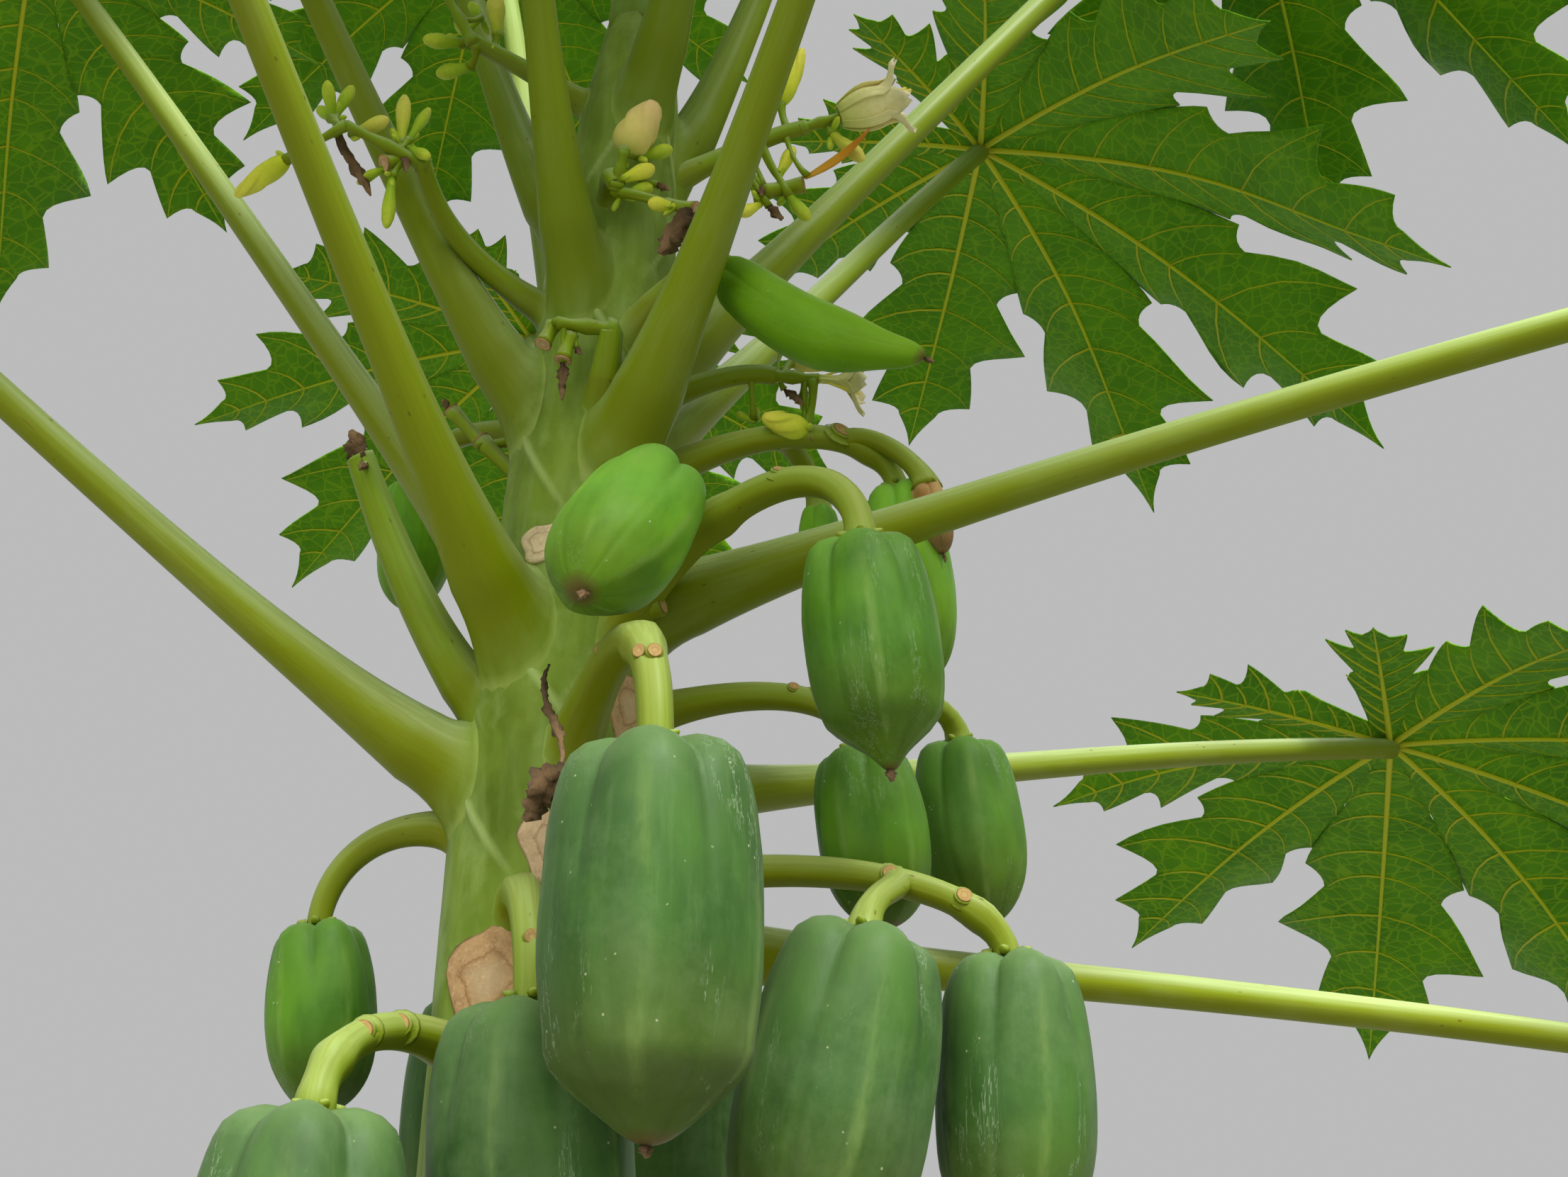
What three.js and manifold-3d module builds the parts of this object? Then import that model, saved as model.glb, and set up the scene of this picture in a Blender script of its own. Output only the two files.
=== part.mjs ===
import * as THREE from 'three';
import Module from 'manifold-3d';

// A fruiting papaya tree: one unbranched stem, a crown of lobed leaves on long stalks,
// ribbed fruit hanging from curved stalks, and sprays of buds below the youngest leaves.
// Millimetres and degrees, +Z up. The origin is the middle of the flat cut at ground level.
// An azimuth of 0 points along +X and 90 along +Y. A rise is an angle above the level.

const wasm = await Module();
wasm.setup();

const CLEARANCE = 0.4; // space kept between neighbouring solids

const STEM = {
  sides: 16,
  bend: 1850, // height where the stem crosses back over its foot and starts to lean
  sway: { x: 15, y: 8 },
  lean: { reach: 28, span: 550, power: 1.3 },
  flare: { lobes: 5, depth: 0.12, fade: 90 },
  levels: [
    { from: 0, to: 60, steps: 3 },
    { from: 60, to: 260, steps: 3 },
    { from: 260, to: 1700, steps: 9 },
    { from: 1700, to: 2405, steps: 11 },
  ],
  // Height and radius where the taper changes
  taper: [
    [0, 104], [60, 88], [200, 75], [800, 65], [1500, 54], [1820, 48], [1980, 45],
    [2120, 39], [2220, 36], [2340, 29], [2405, 20],
  ],
};

const LEAF_STALK = {
  sides: 7,
  steps: 6,
  knee: 30, // how far the base runs out from the stem before it turns up
  sag: 0.06, // drop of the tip, in stalk lengths
  radius: { foot: 26, middle: 10, tip: 8 },
  foot: 75, // length over which the foot narrows
};

const LEAF_BLADE = {
  thickness: 6,
  lobes: 9,
  spread: 37, // angle between two lobes
  shortening: 0.036, // how fast the lobes shorten towards the back
  seat: 1, // space between the stalk's end and the blade
  droop: 0.2,
  fold: 0.05, // rise of the lobe edges over the midrib, in reaches
  pitch: -20, // tilt of the blade's middle lobe
};

// Each full leaf, from the lowest up: where its stalk leaves the stem, the angle at which it
// leaves, the angle that it climbs to, its length, and its blade's reach. A blade with a turn
// is twisted that far about its stalk's end.
const LEAVES = [
  { azimuth: 15, height: 1850, base: 0, rise: 0, length: 800, reach: 380 },
  { azimuth: 190, height: 1920, base: 0, rise: 44, length: 800, reach: 380 },
  { azimuth: 40, height: 1930, base: 0, rise: 18, length: 725, reach: 400 },
  { azimuth: 235, height: 1980, base: 20, rise: 56, length: 800, reach: 380 },
  { azimuth: 152, height: 2005, base: 40, rise: 56, length: 800, reach: 350 },
  { azimuth: 345, height: 2010, base: 20, rise: 14, length: 760, reach: 380 },
  { azimuth: 100, height: 2030, base: 20, rise: 43, length: 760, reach: 350 },
  { azimuth: 310, height: 2090, base: 10, rise: 62, length: 760, reach: 360 },
  { azimuth: 58, height: 2110, base: 20, rise: 49, length: 680, reach: 410, turn: -40 },
  { azimuth: 196, height: 2120, base: 20, rise: 67, length: 730, reach: 290 },
  { azimuth: 25, height: 2140, base: 40, rise: 54, length: 740, reach: 360 },
  { azimuth: 110, height: 2150, base: 20, rise: 64, length: 720, reach: 290 },
  { azimuth: 250, height: 2190, base: 10, rise: 76, length: 580, reach: 270 },
  { azimuth: 84, height: 2220, base: 30, rise: 75, length: 730, reach: 230 },
  { azimuth: 155, height: 2240, base: 20, rise: 75, length: 680, reach: 240 },
  { azimuth: 20, height: 2270, base: 30, rise: 76, length: 600, reach: 215 },
  { azimuth: 300, height: 2320, base: 15, rise: 72, length: 600, reach: 230 },
];

const YOUNG_LEAVES = {
  count: 4,
  turn: 137.5, // angle from one young leaf to the next
  first: 205,
  bud: { radius: 19, height: 70 },
  length: { first: 360, last: 110 },
  rise: { first: 76, last: 88 },
  reach: { first: 190, last: 60 },
  radius: { first: 6.5, last: 3.5 },
  lobes: 5,
  spread: 56,
  shortening: 0.09,
  bow: 15, // how much flatter a stalk starts than it ends
  pitch: -58,
  droop: 0.35,
  thickness: 4,
};

const FRUIT = {
  ribs: 5,
  rib: 0.055, // height of the ribs, in radii
  // Share of the length from the stalk, and share of the width there
  profile: [[0.01, 0.34], [0.1, 0.76], [0.32, 0.97], [0.58, 1], [0.83, 0.72], [0.98, 0.14]],
  sink: 5, // how far a stalk runs into its fruit
  large: 50, // width from which a fruit gets more sides
  sides: { large: 15, small: 10 },
};

// Fruit stalks, each with where it leaves the stem, the rise and length of its first push
// outwards, and its radius at both ends. A fruit's azimuth, distance out and height place its
// top; it leans by an angle towards an azimuth, and its stalk comes down on it from the height
// of hang. A branch grows from a share of the first fruit's stalk.
const BUNCHES = [
  {
    name: 'fruit_bunch_front', azimuth: 295, height: 1905, rise: 48, push: 110, radius: [11, 7],
    fruit: [
      { azimuth: 290, out: 199, height: 1897, length: 175, width: 97, lean: 0, toward: 0, hang: 95 },
    ],
  },
  {
    name: 'fruit_bunch_right_upper', azimuth: 316, height: 1950, rise: 58, push: 150, radius: [10, 6],
    fruit: [
      { azimuth: 322, out: 195, height: 2022, length: 120, width: 66, lean: 6, toward: 0, hang: 75 },
      {
        azimuth: 299, out: 107, height: 2064, length: 114, width: 64, lean: 40, toward: 245, hang: 30,
        branch: { at: 0.38, azimuth: 270, rise: 40, push: 30 },
      },
    ],
  },
  {
    name: 'fruit_bunch_right_top', azimuth: 350, height: 2075, rise: 42, push: 120, radius: [8, 5],
    fruit: [
      { azimuth: 1, out: 173, height: 2106, length: 118, width: 48, lean: 6, toward: 350, hang: 40 },
      {
        azimuth: 14, out: 134, height: 2106, length: 42, width: 24, lean: 0, toward: 0, hang: 20,
        branch: { at: 0.6, azimuth: 60, rise: 10, push: 20 },
      },
      {
        azimuth: 354, out: 208, height: 2094, length: 38, width: 20, lean: 6, toward: 0, hang: 15,
        branch: { at: 0.75, azimuth: 340, rise: 45, push: 40 },
      },
    ],
  },
  {
    name: 'fruit_bunch_right_middle', azimuth: 5, height: 1950, rise: 30, push: 90, radius: [8.5, 5.5],
    fruit: [
      { azimuth: 353, out: 162, height: 1947, length: 96, width: 58, lean: 8, toward: 0, hang: 45 },
      {
        azimuth: 13, out: 222, height: 1972, length: 106, width: 58, lean: 6, toward: 330, hang: 35,
        branch: { at: 0.75, azimuth: 20, rise: 15, push: 50 },
      },
    ],
  },
  {
    name: 'fruit_bunch_right_lower', azimuth: 325, height: 1862, rise: 12, push: 120, radius: [9, 6],
    fruit: [
      { azimuth: 348, out: 242, height: 1832, length: 145, width: 77, lean: 0, toward: 0, hang: 50 },
      {
        azimuth: 329, out: 193, height: 1833, length: 166, width: 90, lean: 12, toward: 200, hang: 25,
        branch: { at: 0.72, azimuth: 300, rise: -30, push: 15 },
      },
    ],
  },
  {
    name: 'fruit_bunch_front_left', azimuth: 253, height: 1833, rise: 45, push: 60, radius: [9, 6.5],
    fruit: [
      { azimuth: 276, out: 101, height: 1801, length: 165, width: 95, lean: 4, toward: 20, hang: 75 },
    ],
  },
  {
    name: 'fruit_bunch_left_lower', azimuth: 225, height: 1765, rise: 35, push: 80, radius: [9, 7],
    fruit: [
      { azimuth: 238, out: 146, height: 1747, length: 168, width: 98, lean: 4, toward: 250, hang: 50 },
    ],
  },
  {
    name: 'fruit_bunch_left', azimuth: 172, height: 1875, rise: 55, push: 70, radius: [8, 5],
    fruit: [
      { azimuth: 171, out: 118, height: 1863, length: 98, width: 57, lean: 6, toward: 0, hang: 60 },
    ],
  },
  {
    name: 'fruit_bunch_left_back', azimuth: 128, height: 2124, rise: 35, push: 80, radius: [7, 5],
    fruit: [
      { azimuth: 137, out: 158, height: 2158, length: 84, width: 46, lean: 4, toward: 90, hang: 45 },
    ],
  },
  {
    name: 'young_fruit', azimuth: 292, height: 2128, rise: 62, push: 85, radius: [7, 4.5],
    fruit: [
      { azimuth: 327, out: 82, height: 2214, length: 132, width: 36, lean: 58, toward: 345, hang: 22 },
    ],
  },
  {
    name: 'fruit_bunch_back_lower', azimuth: 80, height: 1835, rise: 40, push: 90, radius: [10, 7],
    fruit: [
      { azimuth: 66, out: 165, height: 1838, length: 168, width: 92, lean: 3, toward: 70, hang: 60 },
      {
        azimuth: 108, out: 152, height: 1850, length: 142, width: 78, lean: 4, toward: 110, hang: 35,
        branch: { at: 0.6, azimuth: 150, rise: 10, push: 40 },
      },
    ],
  },
  {
    name: 'fruit_bunch_back_upper', azimuth: 92, height: 1965, rise: 45, push: 80, radius: [8, 6],
    fruit: [
      { azimuth: 96, out: 140, height: 1985, length: 106, width: 60, lean: 3, toward: 90, hang: 50 },
    ],
  },
];

const SPRAY = {
  sides: 6,
  pedicel: { length: 24, radius: 2.2 },
  opening: 62, // angle between the rachis and a bud's stalk
  sink: 3, // how far one piece runs into the next
  budSides: 5,
  budProfile: [[0, 0.4], [0.4, 1], [1, 0.3]], // share of the length, and share of the width there
  tiltStep: 25, // difference in rise between neighbouring buds
  mouth: 0.4, // radius of an open flower's mouth, in its lengths
};

// Flower sprays: where the stalk leaves the stem and where it ends, the rachis that goes on
// from there, and the number, length and width of the buds beside it. A bloom is the length
// of an open flower at the end of the rachis.
const SPRAYS = [
  {
    name: 'flower_spray_left', azimuth: 195, height: 2195, rise: 20, push: 60, radius: [7, 4.5],
    end: { azimuth: 216, out: 124, height: 2264 },
    rachis: { azimuth: 200, rise: 20, length: 46 }, buds: 6, bud: [26, 10], bloom: 0,
  },
  {
    name: 'flower_spray_top_left', azimuth: 190, height: 2335, rise: 30, push: 30, radius: [6, 4],
    end: { azimuth: 203, out: 100, height: 2370 },
    rachis: { azimuth: 195, rise: 60, length: 34 }, buds: 4, bud: [24, 9], bloom: 0,
  },
  {
    name: 'flower_spray_front', azimuth: 268, height: 2262, rise: 20, push: 25, radius: [5, 4],
    end: { azimuth: 283, out: 62, height: 2270 },
    rachis: { azimuth: 300, rise: 45, length: 16 }, buds: 3, bud: [24, 13], bloom: 0,
  },
  {
    name: 'flower_spray_right', azimuth: 5, height: 2280, rise: 35, push: 60, radius: [6, 4],
    end: { azimuth: 2, out: 106, height: 2328 },
    rachis: { azimuth: 355, rise: 16, length: 26 }, buds: 4, bud: [22, 9], bloom: 46,
  },
  {
    name: 'flower_spray_right_lower', azimuth: 345, height: 2135, rise: 25, push: 45, radius: [6, 4.5],
    end: { azimuth: 353, out: 100, height: 2166 },
    rachis: { azimuth: 0, rise: -4, length: 26 }, buds: 2, bud: [26, 14], bloom: 34,
  },
  {
    name: 'spent_stalk_left', azimuth: 195, height: 1945, rise: 20, push: 15, radius: [13, 6],
    end: { azimuth: 196, out: 122, height: 2104 },
    rachis: { azimuth: 200, rise: 60, length: 12 }, buds: 0, bud: [0, 0], bloom: 0,
  },
  {
    name: 'spent_stalk_front', azimuth: 285, height: 2112, rise: 30, push: 12, radius: [7, 5],
    end: { azimuth: 282, out: 56, height: 2172 },
    rachis: { azimuth: 195, rise: 0, length: 30 }, buds: 2, bud: [12, 6], bloom: 0,
  },
];

const MATERIALS = {
  stem: new THREE.MeshStandardMaterial({ color: 0x9db067, roughness: 0.75, metalness: 0 }),
  leafStalk: new THREE.MeshStandardMaterial({ color: 0x93a03f, roughness: 0.5, metalness: 0 }),
  leafBlade: new THREE.MeshStandardMaterial({ color: 0x47751d, roughness: 0.6, metalness: 0 }),
  fruit: new THREE.MeshStandardMaterial({ color: 0x558249, roughness: 0.55, metalness: 0 }),
  flower: new THREE.MeshStandardMaterial({ color: 0xc4c36e, roughness: 0.6, metalness: 0 }),
};

const UP = new THREE.Vector3(0, 0, 1);

function heading(azimuth, rise) {
  const turn = THREE.MathUtils.degToRad(azimuth);
  const climb = THREE.MathUtils.degToRad(rise);
  const level = Math.cos(climb);
  return new THREE.Vector3(level * Math.cos(turn), level * Math.sin(turn), Math.sin(climb));
}

function mix(from, to, share) {
  return THREE.MathUtils.lerp(from, to, share);
}

function moved(point, direction, distance) {
  return point.clone().addScaledVector(direction, distance);
}

// Middle of the stem at a height: a slow sway, and a lean that begins at the bend
function stemAxis(height) {
  const { bend, sway, lean } = STEM;
  const wave = Math.sin((Math.PI * height) / bend);
  const above = Math.max(0, (height - bend) / lean.span);
  return new THREE.Vector3(lean.reach * above ** lean.power - sway.x * wave, sway.y * wave, height);
}

function stemRadius(height) {
  const { taper } = STEM;
  const upper = Math.max(1, taper.findIndex(([level]) => level >= height));
  const [low, wide] = taper[upper - 1];
  const [high, narrow] = taper[upper];
  return mix(wide, narrow, (height - low) / (high - low));
}

function besideStem({ azimuth, out, height }) {
  return moved(stemAxis(height), heading(azimuth, 0), out);
}

function solid(points, triangles) {
  return new wasm.Manifold(new wasm.Mesh({
    numProp: 3,
    vertProperties: new Float32Array(points.flatMap((point) => point.toArray())),
    triVerts: new Uint32Array(triangles),
  }));
}

function middle(ring) {
  const sum = ring.reduce((total, point) => total.add(point), new THREE.Vector3());
  return sum.divideScalar(ring.length);
}

// Closed solid through rings of equal count that turn anticlockwise about their way forward
function loft(rings) {
  const sides = rings[0].length;
  const points = rings.flat();
  const first = points.push(middle(rings[0])) - 1;
  const last = points.push(middle(rings.at(-1))) - 1;
  const end = (rings.length - 1) * sides;
  const triangles = [];
  for (let side = 0; side < sides; side++) {
    const next = (side + 1) % sides;
    triangles.push(first, next, side, last, end + side, end + next);
    for (let row = 0; row < end; row += sides) {
      triangles.push(row + side, row + next, row + sides + next);
      triangles.push(row + side, row + sides + next, row + sides + side);
    }
  }
  return solid(points, triangles);
}

function ringAt(centre, across, over, radiusAt, sides) {
  return Array.from({ length: sides }, (_, side) => {
    const angle = (2 * Math.PI * side) / sides;
    const radius = radiusAt(angle);
    const point = moved(centre, across, radius * Math.cos(angle));
    return point.addScaledVector(over, radius * Math.sin(angle));
  });
}

// Tapering limb along a curve, whose last ring may be turned to face a given way
function limb(curve, radiusAt, sides, steps, facing) {
  const frames = curve.computeFrenetFrames(steps, false);
  if (facing) {
    const across = frames.normals.at(-1).projectOnPlane(facing).normalize();
    frames.binormals.at(-1).crossVectors(facing, across);
  }
  const rings = frames.normals.map((normal, step) => {
    const radius = radiusAt(step / steps);
    return ringAt(curve.getPointAt(step / steps), normal, frames.binormals[step], () => radius, sides);
  });
  return loft(rings);
}

function stemSolid(grow) {
  const { flare, levels, sides } = STEM;
  const heights = levels.flatMap(({ from, to, steps }) => (
    Array.from({ length: steps }, (_, step) => mix(from, to, step / steps))
  ));
  heights.push(levels.at(-1).to);
  const rings = heights.map((height) => {
    const waist = flare.depth * Math.exp(-height / flare.fade);
    const radiusAt = (angle) => stemRadius(height) * (1 + waist * Math.cos(flare.lobes * angle)) + grow;
    const centre = stemAxis(height);
    centre.z += height === levels.at(-1).to ? grow : 0;
    return ringAt(centre, new THREE.Vector3(1, 0, 0), new THREE.Vector3(0, 1, 0), radiusAt, sides);
  });
  return loft(rings);
}

function leafStalkCurve({ azimuth, height, base, rise, length }) {
  const start = stemAxis(height);
  const knee = moved(start, heading(azimuth, base), stemRadius(height) + LEAF_STALK.knee);
  const half = moved(knee, heading(azimuth, rise), length / 2);
  const tip = moved(knee, heading(azimuth, rise), length);
  tip.z -= LEAF_STALK.sag * length;
  return new THREE.CubicBezierCurve3(start, knee, half, tip);
}

// Ways forward, aside and up from a leaf blade's hub
function leafBladeFrame({ azimuth, turn = 0 }) {
  const forward = heading(azimuth + turn, LEAF_BLADE.pitch);
  const aside = heading(azimuth + turn + 90, 0);
  return { forward, aside, normal: forward.clone().cross(aside) };
}

function leafStalkSolid(leaf, grow) {
  const { sides, steps, radius, foot } = LEAF_STALK;
  const curve = leafStalkCurve(leaf);
  const buried = stemRadius(leaf.height);
  const full = curve.getLength();
  const radiusAt = (along) => {
    const clear = Math.max(0, along * full - buried);
    const swell = (radius.foot - radius.middle) * Math.exp(-clear / foot);
    return mix(radius.middle, radius.tip, along) + swell + grow;
  };
  return limb(curve, radiusAt, sides, steps, leafBladeFrame(leaf).normal);
}

// Thin palmate plate with a hub, two ribs' points a lobe, and one pair of side tips a lobe
function palmate({ hub, forward, aside, reach, lobes, spread, shortening, thickness, droop, fold }) {
  const normal = forward.clone().cross(aside);
  const half = (lobes - 1) / 2;
  const lobeReach = (number) => reach * (1 - shortening * number * number);
  const flat = [{ x: 0, y: 0, lift: 0 }];
  const edge = [];
  for (let number = -half; number <= half; number++) {
    const length = lobeReach(number);
    const angle = THREE.MathUtils.degToRad(number * spread);
    const atBack = number === -half;
    const inner = atBack ? -Math.PI : angle - THREE.MathUtils.degToRad(spread / 2);
    const notch = atBack ? 0.07 * reach : 0.25 * length;
    const lobe = [
      [0.62, -0.18], [0.7, -0.085], [1, 0], [0.7, 0.085], [0.62, 0.18], [0.3, 0], [0.64, 0],
    ].map(([along, across]) => ({
      x: length * (along * Math.cos(angle) - across * Math.sin(angle)),
      y: length * (along * Math.sin(angle) + across * Math.cos(angle)),
      lift: across === 0 ? 0 : fold * reach,
    }));
    const first = flat.push({ x: notch * Math.cos(inner), y: notch * Math.sin(inner), lift: 0 }) - 1;
    flat.push(...lobe);
    edge.push(first, first + 1, first + 2, first + 3, first + 4, first + 5);
  }
  const above = flat.map(({ x, y, lift }) => {
    const sink = (droop * (x * x + y * y)) / reach;
    return moved(moved(moved(hub, forward, x), aside, y), normal, lift - sink + thickness / 2);
  });
  const below = above.map((point) => moved(point, normal, -thickness));
  const size = flat.length;
  const triangles = [];
  for (let first = 1; first < size; first += 8) {
    const next = first + 8 < size ? first + 8 : 1;
    const [tipA, notchA, apex, notchB, tipB, inner, outer] = (
      [1, 2, 3, 4, 5, 6, 7].map((step) => first + step)
    );
    const faces = [
      [0, first, inner], [first, tipA, inner], [tipA, outer, inner], [tipA, notchA, outer],
      [notchA, apex, outer], [apex, notchB, outer], [notchB, tipB, outer], [tipB, inner, outer],
      [tipB, next, inner], [0, inner, next],
    ];
    faces.forEach(([a, b, c]) => triangles.push(a, b, c, a + size, c + size, b + size));
  }
  edge.forEach((a, step) => {
    const b = edge[(step + 1) % edge.length];
    triangles.push(a, a + size, b + size, a, b + size, b);
  });
  return solid([...above, ...below], triangles);
}

function leafBladeSolid(leaf) {
  const { seat, thickness, lobes, spread, shortening, droop, fold } = LEAF_BLADE;
  const { forward, aside, normal } = leafBladeFrame(leaf);
  const hub = moved(leafStalkCurve(leaf).v3, normal, seat + thickness / 2);
  const { reach } = leaf;
  return palmate({ hub, forward, aside, reach, lobes, spread, shortening, thickness, droop, fold });
}

// Bud of the stem with the youngest leaves, which still hang folded, fused to it
function youngLeavesSolid() {
  const { count, turn, first, bud, length, rise, reach, radius, lobes, spread, pitch } = YOUNG_LEAVES;
  const { droop, thickness, shortening, bow: slack } = YOUNG_LEAVES;
  const foot = stemAxis(STEM.levels.at(-1).to);
  const top = moved(foot, UP, bud.height);
  const swelling = new THREE.LineCurve3(foot, top);
  let body = limb(swelling, (along) => mix(bud.radius, bud.radius / 3, along * along), 8, 3);
  for (let number = 0; number < count; number++) {
    const age = number / (count - 1);
    const azimuth = first + turn * number;
    const climb = mix(rise.first, rise.last, age);
    const run = mix(length.first, length.last, age);
    const start = moved(foot, UP, bud.height * mix(0.25, 0.8, age));
    const bow = moved(start, heading(azimuth, climb - slack), run / 2);
    const tip = moved(start, heading(azimuth, climb), run);
    const stalk = new THREE.QuadraticBezierCurve3(start, bow, tip);
    const thick = mix(radius.first, radius.last, age);
    const blade = palmate({
      hub: tip,
      forward: heading(azimuth, pitch),
      aside: heading(azimuth + 90, 0),
      reach: mix(reach.first, reach.last, age),
      lobes,
      spread,
      shortening,
      thickness,
      droop,
      fold: 0,
    });
    body = body.add(limb(stalk, (along) => thick * (1 - 0.3 * along), 5, 3)).add(blade);
  }
  return body;
}

// Ribbed fruit from its top to its tip
function fruitSolid(top, direction, length, width, grow) {
  const { ribs, rib, profile, large, sides } = FRUIT;
  const across = new THREE.Vector3(-direction.y, direction.x, 0);
  if (across.lengthSq() < 1e-6) across.set(1, 0, 0);
  across.normalize();
  const over = direction.clone().cross(across);
  const rings = profile.map(([station, share]) => {
    const radiusAt = (angle) => (width / 2) * share * (1 + rib * Math.cos(ribs * angle)) + grow;
    const centre = moved(top, direction, length * station);
    return ringAt(centre, across, over, radiusAt, width < large ? sides.small : sides.large);
  });
  return loft(rings);
}

// Curve that leaves a point along one direction and comes down on its end from above
function archCurve(start, direction, push, end, hang) {
  return new THREE.CubicBezierCurve3(start, moved(start, direction, push), moved(end, UP, hang), end);
}

function bunchSolid({ azimuth, height, rise, push, radius, fruit }, grow) {
  const [thick, thin] = radius;
  let main;
  let body;
  fruit.forEach(({ lean, toward, length, width, hang, branch, ...place }) => {
    const top = besideStem(place);
    const direction = heading(toward, lean - 90);
    const end = moved(top, direction, FRUIT.sink);
    const start = branch ? main.getPointAt(branch.at) : stemAxis(height);
    const way = branch ? heading(branch.azimuth, branch.rise) : heading(azimuth, rise);
    const curve = archCurve(start, way, branch ? branch.push : push, end, hang);
    main = main ?? curve;
    const from = branch ? mix(thick, thin, branch.at) * 0.9 : thick;
    const to = Math.min(thin, width / 4);
    const stalk = limb(curve, (along) => mix(from, to, along) + grow, 6, branch ? 4 : 6);
    const grown = stalk.add(fruitSolid(top, direction, length, width, grow));
    body = body ? body.add(grown) : grown;
  });
  return body;
}

function budSolid(start, direction, length, width, grow) {
  const across = new THREE.Vector3(-direction.y, direction.x, 0).normalize();
  const over = direction.clone().cross(across);
  const rings = SPRAY.budProfile.map(([station, share]) => {
    const radius = (share * width) / 2 + grow;
    return ringAt(moved(start, direction, length * station), across, over, () => radius, SPRAY.budSides);
  });
  return loft(rings);
}

function spraySolid({ azimuth, height, rise, push, radius, end, rachis, buds, bud, bloom }, grow) {
  const [thick, thin] = radius;
  const { sides, pedicel, opening, sink, tiltStep, mouth } = SPRAY;
  const tip = besideStem(end);
  const onward = heading(rachis.azimuth, rachis.rise);
  const bow = moved(stemAxis(height), heading(azimuth, rise), stemRadius(height) + push);
  const stalk = new THREE.QuadraticBezierCurve3(stemAxis(height), bow, tip);
  const carrier = new THREE.LineCurve3(moved(tip, onward, -sink), moved(tip, onward, rachis.length));
  let body = limb(stalk, (along) => mix(thick, thin, along) + grow, sides, 5);
  body = body.add(limb(carrier, (along) => thin * (1 - 0.4 * along) + grow, sides, 2));
  for (let number = 0; number < buds; number++) {
    const start = carrier.getPointAt((number + 1) / (buds + 1));
    const spin = rachis.azimuth + (number % 2 ? -opening : opening);
    const way = heading(spin, rachis.rise + tiltStep * ((number % 3) - 1));
    const neck = new THREE.LineCurve3(start, moved(start, way, pedicel.length));
    const foot = moved(start, way, pedicel.length - sink);
    body = body.add(limb(neck, () => pedicel.radius + grow, 3, 1));
    body = body.add(budSolid(foot, way, bud[0], bud[1], grow));
  }
  if (bloom) {
    const throat = moved(tip, onward, rachis.length - sink);
    const trumpet = new THREE.LineCurve3(throat, moved(throat, onward, bloom));
    body = body.add(limb(trumpet, (along) => mix(thin, bloom * mouth, along ** 3) + grow, 8, 4));
  }
  return body;
}

// Largest part of a solid that cutting has left in several
function largest(body) {
  return body.decompose().reduce((best, part) => (part.volume() > best.volume() ? part : best));
}

function boxesMeet(one, other) {
  const [a, b] = [one.boundingBox(), other.boundingBox()];
  return [0, 1, 2].every((axis) => a.min[axis] <= b.max[axis] && b.min[axis] <= a.max[axis]);
}

function meshOf({ name, material, anchor }, body) {
  const { vertProperties, triVerts } = body.getMesh();
  const geometry = new THREE.BufferGeometry();
  geometry.setAttribute('position', new THREE.BufferAttribute(vertProperties, 3));
  geometry.setIndex(new THREE.BufferAttribute(triVerts, 1));
  geometry.translate(-anchor.x, -anchor.y, -anchor.z);
  const mesh = new THREE.Mesh(geometry, material);
  mesh.name = name;
  mesh.position.copy(anchor);
  return mesh;
}

function label(kind, number) {
  return `${kind}_${String(number + 1).padStart(2, '0')}`;
}

// Every sub-part, in the order in which it takes its space: a later one is cut clear of those
// before it. Each shape takes the distance by which it is grown to keep its neighbours off.
function subParts() {
  const parts = [{
    name: 'stem', group: 'stem', material: MATERIALS.stem, anchor: stemAxis(0), shape: stemSolid,
  }];
  LEAVES.forEach((leaf, number) => parts.push({
    name: label('leaf_stalk', number),
    group: 'leaves',
    material: MATERIALS.leafStalk,
    anchor: stemAxis(leaf.height),
    shape: (grow) => leafStalkSolid(leaf, grow),
  }));
  parts.push({
    name: 'young_leaves',
    group: 'leaves',
    material: MATERIALS.leafBlade,
    anchor: stemAxis(STEM.levels.at(-1).to),
    shape: youngLeavesSolid,
  });
  BUNCHES.forEach((bunch) => parts.push({
    name: bunch.name,
    group: 'fruit',
    material: MATERIALS.fruit,
    anchor: stemAxis(bunch.height),
    shape: (grow) => bunchSolid(bunch, grow),
  }));
  SPRAYS.forEach((spray) => parts.push({
    name: spray.name,
    group: 'flowers',
    material: MATERIALS.flower,
    anchor: stemAxis(spray.height),
    shape: (grow) => spraySolid(spray, grow),
  }));
  LEAVES.forEach((leaf, number) => parts.push({
    name: label('leaf_blade', number),
    group: 'leaves',
    material: MATERIALS.leafBlade,
    anchor: leafStalkCurve(leaf).v3,
    shape: () => leafBladeSolid(leaf),
  }));
  return parts;
}

const tree = new THREE.Group();
tree.name = 'papaya_tree';
const groups = new Map();
const placed = [];
for (const part of subParts()) {
  let body = part.shape(0);
  for (const neighbour of placed) {
    if (boxesMeet(body, neighbour)) body = body.subtract(neighbour);
  }
  placed.push(part.shape(CLEARANCE));
  if (!groups.has(part.group)) {
    groups.set(part.group, new THREE.Group());
    tree.add(groups.get(part.group));
  }
  groups.get(part.group).add(meshOf(part, largest(body)));
}

export default tree;
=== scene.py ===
"""Looks of a fruiting papaya tree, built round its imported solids.

Metres and degrees, +Z up, with the origin on the ground under the stem. An azimuth of 0
points along +X and 90 along +Y, and a rise is an angle above the level. Leaves, fruit and
sprays grow by the same rule as the solids that they stand for.
"""

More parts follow.
